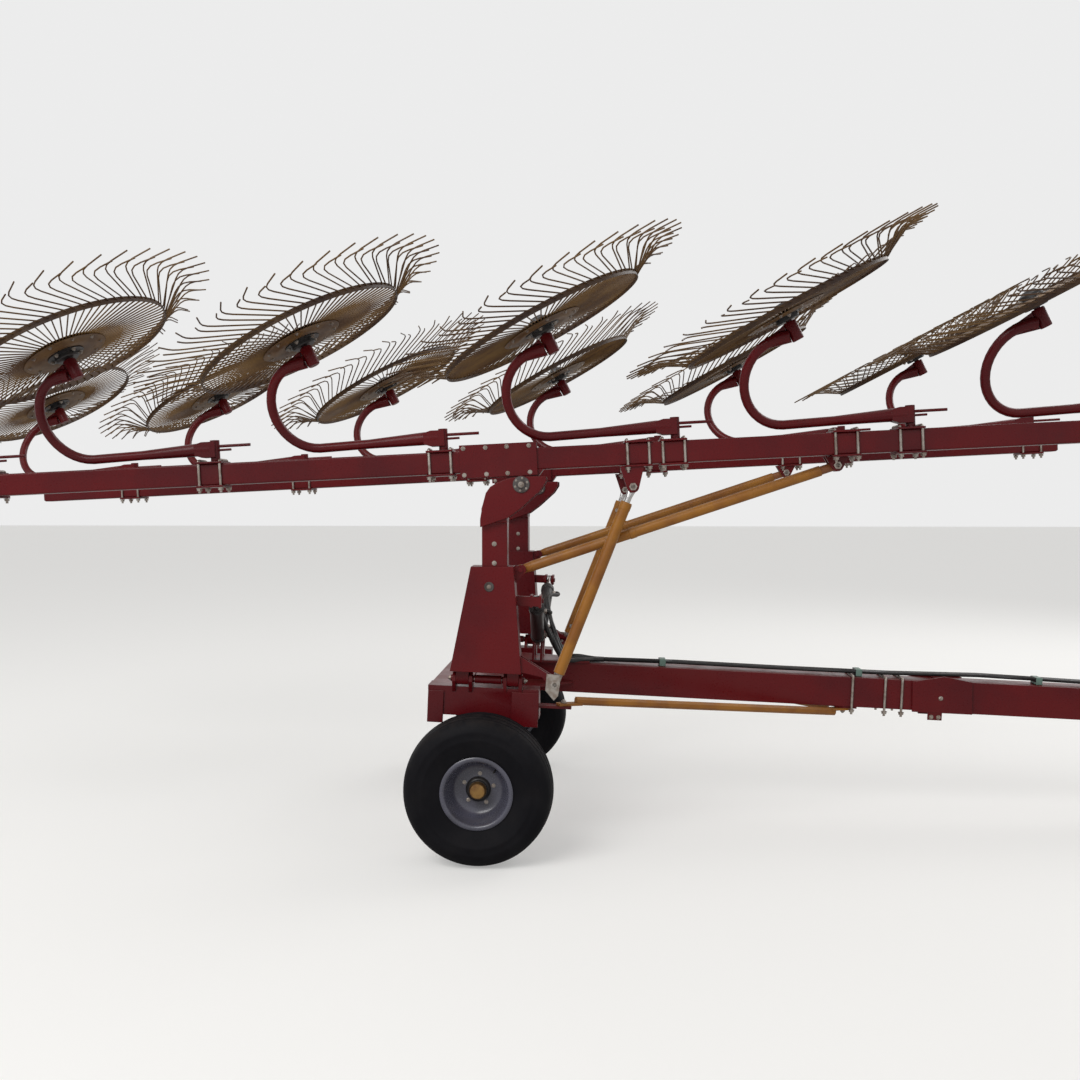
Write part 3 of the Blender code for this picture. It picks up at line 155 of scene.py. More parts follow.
# what all coats share: each pair is where a noise or an angle starts to show, and where it shows in full
wear = {
    "patchEdge": (0.38, 0.66), "facingUp": (0.15, 1.0), "dustSize": 4.0, "dustEdge": (0.30, 0.70),
    "filmSize": 1.7, "filmEdge": (0.48, 0.82), "filmShare": 0.22, "speckSize": 55.0, "speckEdge": (0.66, 0.72),
    "rimEdge": (0.01, 0.12), "rimSize": 18.0, "rimBreaks": (0.42, 0.62), "roughSwing": 0.16, "roughWorn": 0.40,
    "bump": 0.002, "chipDepth": 0.8,
}
finishes = {
    "crimsonPaint": {
        "colour": (0.122, 0.0040, 0.0062), "faded": (0.084, 0.0042, 0.0070), "patches": 2.2, "rough": 0.29,
        "gloss": 0.25, "dust": (0.165, 0.062, 0.048), "dustShare": 0.34, "chip": (0.060, 0.022, 0.016),
        "chipShare": 0.16, "edge": 0.004, "grain": 0.10, "grainSize": 90.0,
    },
    "ochrePaint": {
        "colour": (0.345, 0.140, 0.017), "faded": (0.240, 0.086, 0.014), "patches": 5.0, "rough": 0.38,
        "gloss": 0.35, "dust": (0.33, 0.21, 0.12), "dustShare": 0.35, "chip": (0.11, 0.035, 0.015),
        "chipShare": 0.50, "edge": 0.003, "grainSize": 120.0,
    },
    "umberPaint": {
        "colour": (0.250, 0.092, 0.030), "faded": (0.170, 0.060, 0.024), "patches": 6.0, "rough": 0.40,
        "gloss": 0.35, "dust": (0.30, 0.19, 0.12), "dustShare": 0.35, "chip": (0.09, 0.030, 0.015),
        "chipShare": 0.50, "grainSize": 120.0,
    },
    # the tines' golden yellow paint, partly darkened into a painted shade, as of wheels lit from behind
    "tineGoldInPaintedShade": {
        "colour": (0.126, 0.065, 0.017), "faded": (0.066, 0.031, 0.012), "patches": 4.0, "rough": 0.44,
        "gloss": 0.35, "dust": (0.26, 0.16, 0.08), "dustShare": 0.25, "chip": (0.07, 0.026, 0.013),
        "chipShare": 0.60, "grain": 0.06, "grainSize": 200.0,
    },
    "hoopBand": {
        "colour": (0.066, 0.032, 0.011), "faded": (0.036, 0.016, 0.009), "patches": 4.0, "rough": 0.44,
        "gloss": 0.35, "dust": (0.20, 0.12, 0.06), "dustShare": 0.20, "chip": (0.05, 0.020, 0.011),
        "chipShare": 0.50, "grain": 0.06, "grainSize": 200.0,
    },
    # the plates' yellow paint darkened into a painted shade, as of their undersides in shadow
    "plateOchreInPaintedShade": {
        "colour": (0.150, 0.077, 0.023), "faded": (0.092, 0.044, 0.015), "patches": 9.0, "rough": 0.45,
        "gloss": 0.35, "dust": (0.36, 0.26, 0.15), "chip": (0.12, 0.045, 0.018), "chipShare": 0.50,
        "edge": 0.002, "grainSize": 140.0,
    },
    "tyreRubber": {
        "colour": (0.0050, 0.0048, 0.0064), "faded": (0.0082, 0.0078, 0.0096), "patches": 6.0, "rough": 0.58,
        "gloss": 0.09, "dust": (0.052, 0.039, 0.032), "dustShare": 0.22, "chip": (0.020, 0.017, 0.015),
        "chipShare": 0.20, "grain": 0.20, "grainSize": 160.0,
    },
    "rimGrey": {
        "colour": (0.078, 0.077, 0.106), "faded": (0.056, 0.055, 0.074), "patches": 7.0, "rough": 0.26,
        "gloss": 0.62, "dust": (0.115, 0.090, 0.080), "dustShare": 0.16, "chip": (0.052, 0.034, 0.030),
        "chipShare": 0.06, "edge": 0.003, "grain": 0.012, "grainSize": 130.0,
    },
    "blackPaint": {
        "colour": (0.011, 0.011, 0.013), "faded": (0.020, 0.018, 0.018), "patches": 8.0, "rough": 0.34,
        "gloss": 0.45, "dust": (0.085, 0.062, 0.052), "chip": (0.075, 0.036, 0.025), "chipShare": 0.35,
        "edge": 0.003, "grainSize": 150.0,
    },
    "hoseRubber": {
        "colour": (0.010, 0.010, 0.011), "faded": (0.017, 0.016, 0.016), "patches": 12.0, "rough": 0.40,
        "gloss": 0.40, "dust": (0.090, 0.066, 0.054), "dustShare": 0.28, "chip": (0.022, 0.022, 0.022),
        "chipShare": 0.20, "grain": 0.15, "grainSize": 260.0,
    },
    "darkSteel": {
        "colour": (0.105, 0.095, 0.092), "faded": (0.060, 0.046, 0.042), "patches": 24.0, "rough": 0.38,
        "metal": 0.55, "dust": (0.17, 0.11, 0.08), "chip": (0.11, 0.045, 0.025), "edge": 0.002,
        "grainSize": 260.0,
    },
    "zincSteel": {
        "colour": (0.430, 0.390, 0.350), "faded": (0.270, 0.215, 0.180), "patches": 30.0, "rough": 0.36,
        "metal": 0.80, "dust": (0.26, 0.17, 0.13), "chip": (0.15, 0.06, 0.03), "grain": 0.06,
        "grainSize": 300.0,
    },
    # the clips' dark green paint lightened by a painted highlight, standing in for the sheen on their tops
    "clipGreenWithPaintedHighlight": {
        "colour": (0.150, 0.245, 0.205), "faded": (0.085, 0.150, 0.125), "patches": 14.0, "rough": 0.42,
        "gloss": 0.45, "dust": (0.18, 0.14, 0.10), "dustShare": 0.40, "chip": (0.09, 0.05, 0.03),
        "chipShare": 0.40, "edge": 0.001, "grainSize": 240.0,
    },
    "chromeRod": {
        "colour": (0.620, 0.615, 0.610), "faded": (0.460, 0.450, 0.440), "patches": 10.0, "rough": 0.18,
        "metal": 1.0, "dust": (0.30, 0.24, 0.19), "dustShare": 0.15, "chip": (0.36, 0.32, 0.28),
        "chipShare": 0.20, "grain": 0.02, "grainSize": 300.0,
    },
    "brassCap": {
        "colour": (0.330, 0.190, 0.065), "faded": (0.180, 0.090, 0.038), "patches": 20.0, "rough": 0.34,
        "metal": 0.85, "dust": (0.24, 0.16, 0.10), "dustShare": 0.25, "chip": (0.12, 0.06, 0.035),
        "grain": 0.05, "grainSize": 200.0,
    },
}


def makeFinish(name, look):
    material = bpy.data.materials.new(name)
    nodes, links = startNodes(material)
    shader = nodes["Principled BSDF"]
    shader.inputs["Metallic"].default_value = look["metal"]
    shader.inputs["Specular IOR Level"].default_value = look["gloss"]

    def math2(operation, first, second=None, clamp=False):
        node = nodes.new("ShaderNodeMath")
        node.operation = operation
        node.use_clamp = clamp
        for socket, value in zip(node.inputs, (first, second)):
            if hasattr(value, "links"):
                links.new(value, socket)
            elif value is not None:
                socket.default_value = value
        return node.outputs[0]

    def noise(scale, detail=3.0, rough=0.55):
        node = nodes.new("ShaderNodeTexNoise")
        node.inputs["Scale"].default_value = scale
        node.inputs["Detail"].default_value = detail
        node.inputs["Roughness"].default_value = rough
        links.new(place.outputs["Object"], node.inputs["Vector"])
        return node.outputs["Fac"]

    def step(value, low, high):
        node = nodes.new("ShaderNodeMapRange")
        node.interpolation_type = "SMOOTHSTEP"
        node.inputs["From Min"].default_value = low
        node.inputs["From Max"].default_value = high
        links.new(value, node.inputs["Value"])
        return node.outputs["Result"]

    def blendColour(share, first, second):
        node = nodes.new("ShaderNodeMix")
        node.data_type = "RGBA"
        links.new(share, node.inputs["Factor"])
        for socket, value in ((node.inputs["A"], first), (node.inputs["B"], second)):
            if hasattr(value, "links"):
                links.new(value, socket)
            else:
                socket.default_value = (*value, 1.0)
        return node.outputs["Result"]

    place = nodes.new("ShaderNodeTexCoord")
    patches = step(noise(look["patches"], 4.0), *wear["patchEdge"])
    colour = blendColour(patches, look["colour"], look["faded"])
    # dust settles on what faces up, and in low patches
    facing = nodes.new("ShaderNodeSeparateXYZ")
    links.new(place.outputs["Normal"], facing.inputs[0])
    topSide = step(facing.outputs["Z"], *wear["facingUp"])
    lying = step(noise(look["patches"] * wear["dustSize"], 5.0), *wear["dustEdge"])
    settled = math2("MULTIPLY", topSide, lying)
    film = step(noise(look["patches"] * wear["filmSize"], 6.0), *wear["filmEdge"])
    film = math2("MULTIPLY", film, wear["filmShare"])
    dust = math2("MULTIPLY", math2("MAXIMUM", settled, film), look["dustShare"], True)
    # chips in specks, and along edges where the piece has edges to wear
    specks = step(noise(wear["speckSize"], 6.0, 0.7), *wear["speckEdge"])
    if look["edge"] > 0.0:
        rounded = nodes.new("ShaderNodeBevel")
        rounded.samples = 4
        rounded.inputs["Radius"].default_value = look["edge"]
        geometry = nodes.new("ShaderNodeNewGeometry")
        likeness = nodes.new("ShaderNodeVectorMath")
        likeness.operation = "DOT_PRODUCT"
        links.new(rounded.outputs[0], likeness.inputs[0])
        links.new(geometry.outputs["Normal"], likeness.inputs[1])
        rim = step(math2("SUBTRACT", 1.0, likeness.outputs["Value"]), *wear["rimEdge"])
        rim = math2("MULTIPLY", rim, step(noise(wear["rimSize"], 5.0, 0.65), *wear["rimBreaks"]))
        specks = math2("MAXIMUM", specks, rim)
    chips = math2("MULTIPLY", specks, look["chipShare"], True)
    colour = blendColour(chips, colour, look["chip"])
    colour = blendColour(dust, colour, look["dust"])
    links.new(colour, shader.inputs["Base Color"])
    grain = noise(look["grainSize"], 3.0)
    rough = math2("ADD", math2("MULTIPLY", grain, wear["roughSwing"]), look["rough"] - wear["roughSwing"] / 2.0)
    rough = math2("ADD", rough, math2("MULTIPLY", math2("MAXIMUM", chips, dust), wear["roughWorn"]), True)
    links.new(rough, shader.inputs["Roughness"])
    bump = nodes.new("ShaderNodeBump")
    bump.inputs["Strength"].default_value = look["grain"]
    bump.inputs["Distance"].default_value = wear["bump"]
    links.new(math2("SUBTRACT", grain, math2("MULTIPLY", chips, wear["chipDepth"])), bump.inputs["Height"])
    if look["edge"] > 0.0:
        links.new(rounded.outputs[0], bump.inputs["Normal"])
    links.new(bump.outputs[0], shader.inputs["Normal"])
    return material


finish = {name: makeFinish(name, {**plainCoat, **look}) for name, look in finishes.items()}
print("finishes made:", len(finish))


def buildFloor():
    half = studio["floorHalf"]
    mesh = bpy.data.meshes.new("floor")
    mesh.from_pydata([(-half, -half, 0), (half, -half, 0), (half, half, 0), (-half, half, 0)], [], [(0, 1, 2, 3)])
    floor = bpy.data.objects.new("floor", mesh)
    scene.collection.objects.link(floor)
    paint = bpy.data.materials.new("floorGround")
    nodes, links = startNodes(paint)
    shader = nodes["Principled BSDF"]
    shader.inputs["Base Color"].default_value = (*studio["floor"], 1.0)
    shader.inputs["Roughness"].default_value = studio["floorRough"]
    shader.inputs["Emission Color"].default_value = (*studio["floorTint"], 1.0)
    ray = nodes.new("ShaderNodeLightPath")
    glow = nodes.new("ShaderNodeMath")  # the floor only looks paler to the camera, and lights nothing
    glow.operation = "MULTIPLY"
    glow.inputs[1].default_value = studio["floorGlow"]
    links.new(ray.outputs["Is Camera Ray"], glow.inputs[0])
    links.new(glow.outputs[0], shader.inputs["Emission Strength"])
    mesh.materials.append(paint)


buildFloor()

# frames of the machine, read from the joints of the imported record: x ahead, y across to the left, z up
machine = {
    "beamAbovePin": 0.1149, "wheelAboveArm": 0.0978, "frameSlope": 0.0437, "frameAtHead": 0.7143, "arms": 6,
}
joints = {joint["name"]: joint for joint in frame["joints"]}
upward = Vector((0.0, 0.0, 1.0))


def jointSpot(name):
    return Vector(joints["right_" + name]["pos_m"])


def jointAxis(name):
    return Vector(joints["right_" + name]["axis"]).normalized()


def strutLine(name):
    return jointSpot(name + "_barrel_pivot"), jointAxis(name + "_rod_slide"), jointAxis(name + "_barrel_pivot")


def frameOfAxes(origin, *axes):
    return Matrix([[axis[k] for axis in (*axes, origin)] for k in range(3)] + [[0.0, 0.0, 0.0, 1.0]])


def axesFrame(origin, ahead, across):
    return frameOfAxes(origin, ahead, across, ahead.cross(across))


headPin, foldAhead = jointSpot("opening"), jointAxis("fold")
wheelSpots = [jointSpot("rake_wheel_%d_spin" % (n + 1)) for n in range(machine["arms"])]
wheelNormal = jointAxis("rake_wheel_1_spin")
towerAcross = -jointAxis("opening")
towerAhead = towerAcross.cross(upward).normalized()
beamAhead = (wheelSpots[-1] - wheelSpots[0]).normalized()
towerFrame = axesFrame(headPin, towerAhead, towerAcross)
beamFrame = axesFrame(headPin + upward * machine["beamAbovePin"], beamAhead, towerAcross)
foldFrame = axesFrame(jointSpot("fold"), foldAhead, foldAhead.cross(-upward).normalized())
drawbarFrame = axesFrame(Vector((headPin.x, 0.0, machine["frameAtHead"])),
                         Vector((1.0, 0.0, -machine["frameSlope"])).normalized(), Vector((0.0, 1.0, 0.0)))


def wheelFrame(number):
    return axesFrame(wheelSpots[number], towerAcross.cross(wheelNormal).normalized(), towerAcross)


def shadedMesh(name, shape, smoothAngle, finishName=None):
    mesh = bpy.data.meshes.new(name)
    shape.to_mesh(mesh)
    shape.free()
    if finishName:
        mesh.materials.append(finish[finishName])
    for face in mesh.polygons:
        face.use_smooth = True
    mesh.set_sharp_from_angle(angle=math.radians(smoothAngle))
    return mesh


def linkPiece(name, mesh):
    piece = bpy.data.objects.new(name, mesh)
    scene.collection.objects.link(piece)
    return piece


def mirrorMesh(mesh):
    mesh.transform(Matrix.Scale(-1.0, 4, (0.0, 1.0, 0.0)))
    shape = bmesh.new()
    shape.from_mesh(mesh)
    bmesh.ops.recalc_face_normals(shape, faces=shape.faces)
    shape.to_mesh(mesh)
    shape.free()


def roundCorners(piece, width, segments=2, sharpAngle=40.0):
    bevel = piece.modifiers.new("roundedCorners", "BEVEL")
    bevel.width = width
    bevel.segments = segments
    bevel.limit_method = "ANGLE"
    bevel.angle_limit = math.radians(sharpAngle)
    bevel.harden_normals = True
    bevel.use_clamp_overlap = True


def framePiece(name, shape, finishName, smoothAngle=35.0, rounding=0.0):
    piece = linkPiece(name, shadedMesh(name, shape, smoothAngle, finishName))
    if rounding > 0.0:
        roundCorners(piece, rounding)
    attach(piece, "frame")
    return piece


def placePair(name, mesh, body, replaced=(), rounding=0.0, segments=2):
    mesh.name = "right_" + name
    twinMesh = mesh.copy()
    twinMesh.name = "left_" + name
    mirrorMesh(twinMesh)
    for side, sideMesh in (("right_", mesh), ("left_", twinMesh)):
        piece = linkPiece(side + name, sideMesh)
        if rounding > 0.0:
            roundCorners(piece, rounding, segments)
        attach(piece, body if body == "frame" else side + body)
        if replaced:
            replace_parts(piece, *[side + node for node in replaced])


def bothSides(name, shape, finishName, body, replaced=(), smoothAngle=35.0, rounding=0.0, segments=2):
    placePair(name, shadedMesh(name, shape, smoothAngle, finishName), body, replaced, rounding, segments)


def softCorners(points, radii, steps=5, most=0.49):
    # a bend takes at most this share of the straight on each side of it
    path = [Vector(points[0])]
    for before, corner, after, radius in zip(points, points[1:], points[2:], radii):
        before, corner, after = Vector(before), Vector(corner), Vector(after)
        toBefore, toAfter = (before - corner).normalized(), (after - corner).normalized()
        angle = toBefore.angle(toAfter)
        reach = min(radius / math.tan(angle / 2.0), most * (before - corner).length, most * (after - corner).length)
        start, end = corner + toBefore * reach, corner + toAfter * reach
        for k in range(steps + 1):
            t = k / steps
            path.append(start * (1 - t) ** 2 + corner * 2 * t * (1 - t) + end * t ** 2)
    path.append(Vector(points[-1]))
    return path


def turnsOf(count, first=0.0):
    return [2.0 * math.pi * (n + first) / count for n in range(count)]


def joinRings(shape, rings):
    sides = len(rings[0])
    for low, high in zip(rings, rings[1:]):
        for n in range(sides):
            shape.faces.new((low[n], low[(n + 1) % sides], high[(n + 1) % sides], high[n]))
    shape.faces.new(rings[0][::-1])
    shape.faces.new(rings[-1])


def sweepTube(shape, path, radius, sides=12, place=None):
    path = [Vector(point) for point in path]
    if place is not None:
        path = [place @ point for point in path]
    radii = radius if isinstance(radius, (list, tuple)) else [radius] * len(path)
    side = (path[1] - path[0]).orthogonal().normalized()
    rings = []
    for k, centre in enumerate(path):
        ahead = (path[min(k + 1, len(path) - 1)] - path[max(k - 1, 0)]).normalized()
        side = (side - ahead * side.dot(ahead)).normalized()
        up = ahead.cross(side)
        rings.append([shape.verts.new(centre + (side * math.cos(a) + up * math.sin(a)) * radii[k])
                      for a in turnsOf(sides)])
    joinRings(shape, rings)


def turnProfile(shape, profile, sides, place):
    rings = []
    for radius, height in profile:
        turns = turnsOf(sides) if radius > 0.0 else [0.0]
        rings.append([shape.verts.new(place @ Vector((radius * math.cos(a), radius * math.sin(a), height)))
                      for a in turns])
    if len(rings[0]) > 1:
        rings.append(rings[0])
    for low, high in zip(rings, rings[1:]):
        for n in range(sides):
            m = (n + 1) % sides
            if len(low) == 1:
                corners = (low[0], high[m], high[n])
            else:
                corners = (low[n], low[m], high[0]) if len(high) == 1 else (low[n], low[m], high[m], high[n])
            shape.faces.new(corners)
    bmesh.ops.recalc_face_normals(shape, faces=shape.faces)


def addDisc(shape, radius, low, high, sides, place):
    turnProfile(shape, [(0.0, low), (radius, low), (radius, high), (0.0, high)], sides, place)


def addBox(shape, low, high, place):
    corners = [shape.verts.new(place @ Vector((x, y, z)))
               for x in (low[0], high[0]) for y in (low[1], high[1]) for z in (low[2], high[2])]
    for face in ((0, 1, 3, 2), (4, 6, 7, 5), (0, 4, 5, 1), (2, 3, 7, 6), (0, 2, 6, 4), (1, 5, 7, 3)):
        shape.faces.new([corners[n] for n in face])
    bmesh.ops.recalc_face_normals(shape, faces=shape.faces)


def addSlab(shape, corners, shift):
    # a flat outline drawn twice, half a thickness to each side, with walls between
    count = len(corners)
    near, far = [[shape.verts.new(corner + way) for corner in corners] for way in (-shift, shift)]
    faces = [shape.faces.new(near), shape.faces.new(far)]
    for n in range(count):
        m = (n + 1) % count
        faces.append(shape.faces.new((near[n], near[m], far[m], far[n])))
    return faces


def addPrism(shape, outline, near, far, place):
    centre, shift = (near + far) / 2.0, place.to_3x3() @ Vector((0.0, (far - near) / 2.0, 0.0))
    faces = addSlab(shape, [place @ Vector((x, centre, z)) for x, z in outline], shift)
    bmesh.ops.recalc_face_normals(shape, faces=faces)


pinSizes = {"chamfer": 0.0015, "head": 0.007, "proud": 0.001}


def addPin(shape, centre, across, near, far, radius, place, sides=20, head=0.0):
    spot = place @ Matrix.Translation(centre) @ Vector(across).to_track_quat("Z", "Y").to_matrix().to_4x4()
    chamfer = pinSizes["chamfer"]
    profile = [(0.0, near), (radius, near), (radius, far - chamfer), (radius - chamfer, far), (0.0, far)]
    turnProfile(shape, profile, sides, spot)
    if head > 0.0:
        low, high = far - pinSizes["head"], far - pinSizes["proud"]
        turnProfile(shape, [(0.0, low), (head, low), (head, high), (head - chamfer, far), (0.0, far)], 6, spot)


# Geometry Nodes: copies of one small piece in a ring, or at marked places
def newTree(name, inputs):
    tree = bpy.data.node_groups.new(name, "GeometryNodeTree")
    sockets = {}
    for label, kind in inputs:
        sockets[label] = tree.interface.new_socket(name=label, in_out="INPUT", socket_type=kind).identifier
    tree.interface.new_socket(name="Geometry", in_out="OUTPUT", socket_type="NodeSocketGeometry")
    return tree, sockets, tree.nodes, tree.links, tree.nodes.new("NodeGroupInput")


def closeTree(tree, instances, start):
    real = tree.nodes.new("GeometryNodeRealizeInstances")
    paint = tree.nodes.new("GeometryNodeSetMaterial")
    end = tree.nodes.new("NodeGroupOutput")
    tree.links.new(instances, real.inputs[0])
    tree.links.new(real.outputs[0], paint.inputs["Geometry"])
    tree.links.new(start.outputs["Material"], paint.inputs["Material"])
    tree.links.new(paint.outputs[0], end.inputs[0])


def buildRingTree():
    tree, sockets, nodes, links, start = newTree("ringOfCopies", (
        ("Piece", "NodeSocketGeometry"), ("Copies", "NodeSocketInt"), ("Material", "NodeSocketMaterial")))
    line = nodes.new("GeometryNodeMeshLine")
    line.inputs["Offset"].default_value = (0.0, 0.0, 0.0)
    links.new(start.outputs["Copies"], line.inputs["Count"])
    index = nodes.new("GeometryNodeInputIndex")
    share = nodes.new("ShaderNodeMath")
    share.operation = "DIVIDE"
    links.new(index.outputs[0], share.inputs[0])
    links.new(start.outputs["Copies"], share.inputs[1])
    turn = nodes.new("ShaderNodeMath")
    turn.operation = "MULTIPLY"
    turn.inputs[1].default_value = 2.0 * math.pi
    links.new(share.outputs[0], turn.inputs[0])
    angles = nodes.new("ShaderNodeCombineXYZ")
    links.new(turn.outputs[0], angles.inputs["Z"])
    copies = nodes.new("GeometryNodeInstanceOnPoints")
    links.new(line.outputs[0], copies.inputs["Points"])
    links.new(start.outputs["Piece"], copies.inputs["Instance"])
    links.new(angles.outputs[0], copies.inputs["Rotation"])
    closeTree(tree, copies.outputs[0], start)
    return tree, sockets


def buildPlaceTree():
    tree, sockets, nodes, links, start = newTree("copiesAtPlaces", (
        ("Places", "NodeSocketGeometry"), ("Piece", "NodeSocketObject"), ("Material", "NodeSocketMaterial")))
    piece = nodes.new("GeometryNodeObjectInfo")
    links.new(start.outputs["Piece"], piece.inputs["Object"])
    copies = nodes.new("GeometryNodeInstanceOnPoints")
    links.new(start.outputs["Places"], copies.inputs["Points"])
    links.new(piece.outputs["Geometry"], copies.inputs["Instance"])
    for label, socket in (("turn", "Rotation"), ("size", "Scale")):
        field = nodes.new("GeometryNodeInputNamedAttribute")
        field.data_type = "FLOAT_VECTOR"
        field.inputs["Name"].default_value = label
        links.new(field.outputs["Attribute"], copies.inputs[socket])
    closeTree(tree, copies.outputs[0], start)
    return tree, sockets


ringTree, ringSockets = buildRingTree()
placeTree, placeSockets = buildPlaceTree()


def bakeModifiers(holder, name):
    scene.collection.objects.link(holder)
    bpy.context.view_layer.update()
    mesh = bpy.data.meshes.new_from_object(holder.evaluated_get(bpy.context.evaluated_depsgraph_get()))
    mesh.name = name
    bpy.data.objects.remove(holder)
    return mesh


def ringMesh(name, shape, copies, finishName, smoothAngle):
    holder = bpy.data.objects.new(name, shadedMesh(name, shape, smoothAngle))
    modifier = holder.modifiers.new("ring", "NODES")
    modifier.node_group = ringTree
    modifier[ringSockets["Copies"]] = copies
    modifier[ringSockets["Material"]] = finish[finishName]
    return bakeModifiers(holder, name)


def copiesMesh(name, template, places):
    # each place is a point, a direction or a matrix to turn by, and a size
    mesh = bpy.data.meshes.new(name)
    mesh.from_pydata([tuple(place[0]) for place in places], [], [])
    turn = mesh.attributes.new("turn", "FLOAT_VECTOR", "POINT")
    size = mesh.attributes.new("size", "FLOAT_VECTOR", "POINT")
    for n, (point, way, scale) in enumerate(places):
        turned = way.to_3x3() if isinstance(way, Matrix) else Vector(way).to_track_quat("Z", "Y").to_matrix()
        turn.data[n].vector = tuple(turned.to_euler())
        size.data[n].vector = (scale, scale, scale)
    holder = bpy.data.objects.new(name, mesh)
    modifier = holder.modifiers.new("places", "NODES")
    modifier.node_group = placeTree
    modifier[placeSockets["Piece"]] = templates[template]
    modifier[placeSockets["Material"]] = finish["zincSteel"]
    return bakeModifiers(holder, name)


print("geometry node trees built")

# rigid solids whose shape is right: welded, their corners rounded, and painted
dressed = {
    "main_frame": ("crimsonPaint", 0.0025), "drawbar": ("crimsonPaint", 0.003),
    "drawbar_nose": ("crimsonPaint", 0.003), "tow_eye": ("blackPaint", 0.003),
    "jack_outer": ("crimsonPaint", 0.002), "jack_leg": ("zincSteel", 0.002),
    "right_diagonal_stay": ("ochrePaint", 0.001), "left_diagonal_stay": ("ochrePaint", 0.001),
    "right_tower_pedestal": ("crimsonPaint", 0.0025), "left_tower_pedestal": ("crimsonPaint", 0.0025),
}


def weldedShape(nodeName):
    shape = bmesh.new()
    shape.from_mesh(frame["nodes"][nodeName].data)
    bmesh.ops.remove_doubles(shape, verts=shape.verts, dist=0.00002)
    bmesh.ops.dissolve_limit(shape, angle_limit=0.002, verts=shape.verts, edges=shape.edges)
    return shape


for nodeName, (finishName, rounding) in dressed.items():
    skin = linkPiece(nodeName + "_skin", shadedMesh(nodeName + "_skin", weldedShape(nodeName), 35.0, finishName))
    roundCorners(skin, rounding)
    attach(skin, body_of(frame["nodes"][nodeName])[0])
    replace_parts(skin, nodeName)
print("frame, drawbar and pedestals dressed")

# bolts, in shares of their size, and rods bent over a square tube with a washer and a nut on each leg
boltSizes = {
    "washer": 0.62, "washerThick": 0.08, "head": 0.5, "headBase": 0.06, "chamfer": 0.07, "shank": 0.26,
    "headTop": 0.8, "shankTip": 0.20, "tipTaper": 0.06, "tall": (0.35, 0.28), "flat": (0.12, 0.075),
}
uBoltSizes = {"play": 0.0006, "corner": 0.014, "nut": (2.0, 0.011, 0.021), "washer": (2.4, 0.0212, 0.0236)}
clampSizes = {
    "tube": 0.050, "half": 0.061, "wide": 0.067, "thick": 0.009, "rod": 0.0062, "apart": 0.098,
    "armShift": -0.014, "strutShift": 0.030, "drop": 0.084,
}
drawbarClamp = {"half": 0.076, "rise": 0.084, "drop": 0.112, "rod": 0.0064}


def buildBolt(height, end):
    shape, still = bmesh.new(), Matrix()
    base, head, crown, shank = (boltSizes[key] for key in ("headBase", "head", "headTop", "shank"))
    top, tip = height + boltSizes["chamfer"], height + end
    addDisc(shape, boltSizes["washer"], 0.0, boltSizes["washerThick"], 14, still)
    turnProfile(shape, [(0.0, base), (head, base), (head, height), (head * crown, top), (0.0, top)], 6, still)
    taper, point = tip - boltSizes["tipTaper"], boltSizes["shankTip"]
    profile = [(0.0, height), (shank, height), (shank, taper), (point, tip), (0.0, tip)]
    turnProfile(shape, profile, 10, still)
    return shape


def buildUBolt(half, rise, drop, rod):
    shape = bmesh.new()
    wide, corner = half + rod + uBoltSizes["play"], uBoltSizes["corner"]
    bends = [(0.0, wide, -drop), (0.0, wide, rise), (0.0, -wide, rise), (0.0, -wide, -drop)]
    sweepTube(shape, softCorners(bends, (corner, corner), 4), rod, 8)
    for side in (-1.0, 1.0):
        for sides, part in ((6, "nut"), (14, "washer")):
            size, low, high = uBoltSizes[part]
            addDisc(shape, rod * size, low, high, sides, Matrix.Translation((0.0, side * wide, -drop)))
    return shape


templates = {}
for templateName, shape in (
        ("bolt", buildBolt(*boltSizes["tall"])), ("flatBolt", buildBolt(*boltSizes["flat"])),
        ("beamUBolt", buildUBolt(clampSizes["tube"], clampSizes["tube"] + clampSizes["thick"] + clampSizes["rod"],
                                 clampSizes["drop"], clampSizes["rod"])),
        ("drawbarUBolt", buildUBolt(**drawbarClamp))):
    mesh = shadedMesh(templateName + "Template", shape, 30.0, "zincSteel")
    templates[templateName] = bpy.data.objects.new(templateName + "Template", mesh)


def facingOut(place, direction, angle=0.0):
    return place.to_3x3() @ Vector(direction).to_track_quat("Z", "Y").to_matrix() @ Matrix.Rotation(angle, 3, "Z")


def pairOfCopies(name, template, places, body):
    placePair(name, copiesMesh(name, template, places), body)


# rake wheels: forty pairs of spring tines held between plates, threaded through a flat hoop
tineSizes = {
    "pairs": 40, "wire": 0.0032, "root": 0.150, "hoopRadius": 0.4686, "hoopWidth": 0.024, "hoopThick": 0.004,
    # each leg from the hoop: rise along the spindle, lag along the rim, reach outwards
    "longLeg": (0.0834, -0.209, 0.1137), "longTip": (0.0, 0.0315, 0.1254), "shortLeg": (0.0840, -0.196, 0.0823),
    "shortTip": (-0.013, 0.031, 0.112), "shortAhead": 0.5, "hoopBend": 0.030, "bend": 0.060,
}
wheelPlate = {
    "radius": 0.183, "hole": 0.030, "thick": 0.0022, "apart": 0.0045, "edge": (0.002, 0.0008),
    "ridge": (0.078, 0.098, 0.132, 0.146), "ridgeRise": 0.006, "bolts": (0.160, 10, 0.014),
}
wheelHub = {
    "radius": 0.052, "height": 0.034, "cap": 0.032, "back": 0.032, "flange": 0.080, "flangeRise": 0.006,
    "bolts": (0.066, 5, 0.018), "turnStep": 3.7, "chamfer": 0.004, "fillet": 0.002, "shoulder": 0.006,
    # the cap's dome, past the cap's radius and the hub's face
    "dome": ((0.003, 0.0), (0.0, 0.002), (-0.005, 0.008)), "domeTop": 0.010,
}


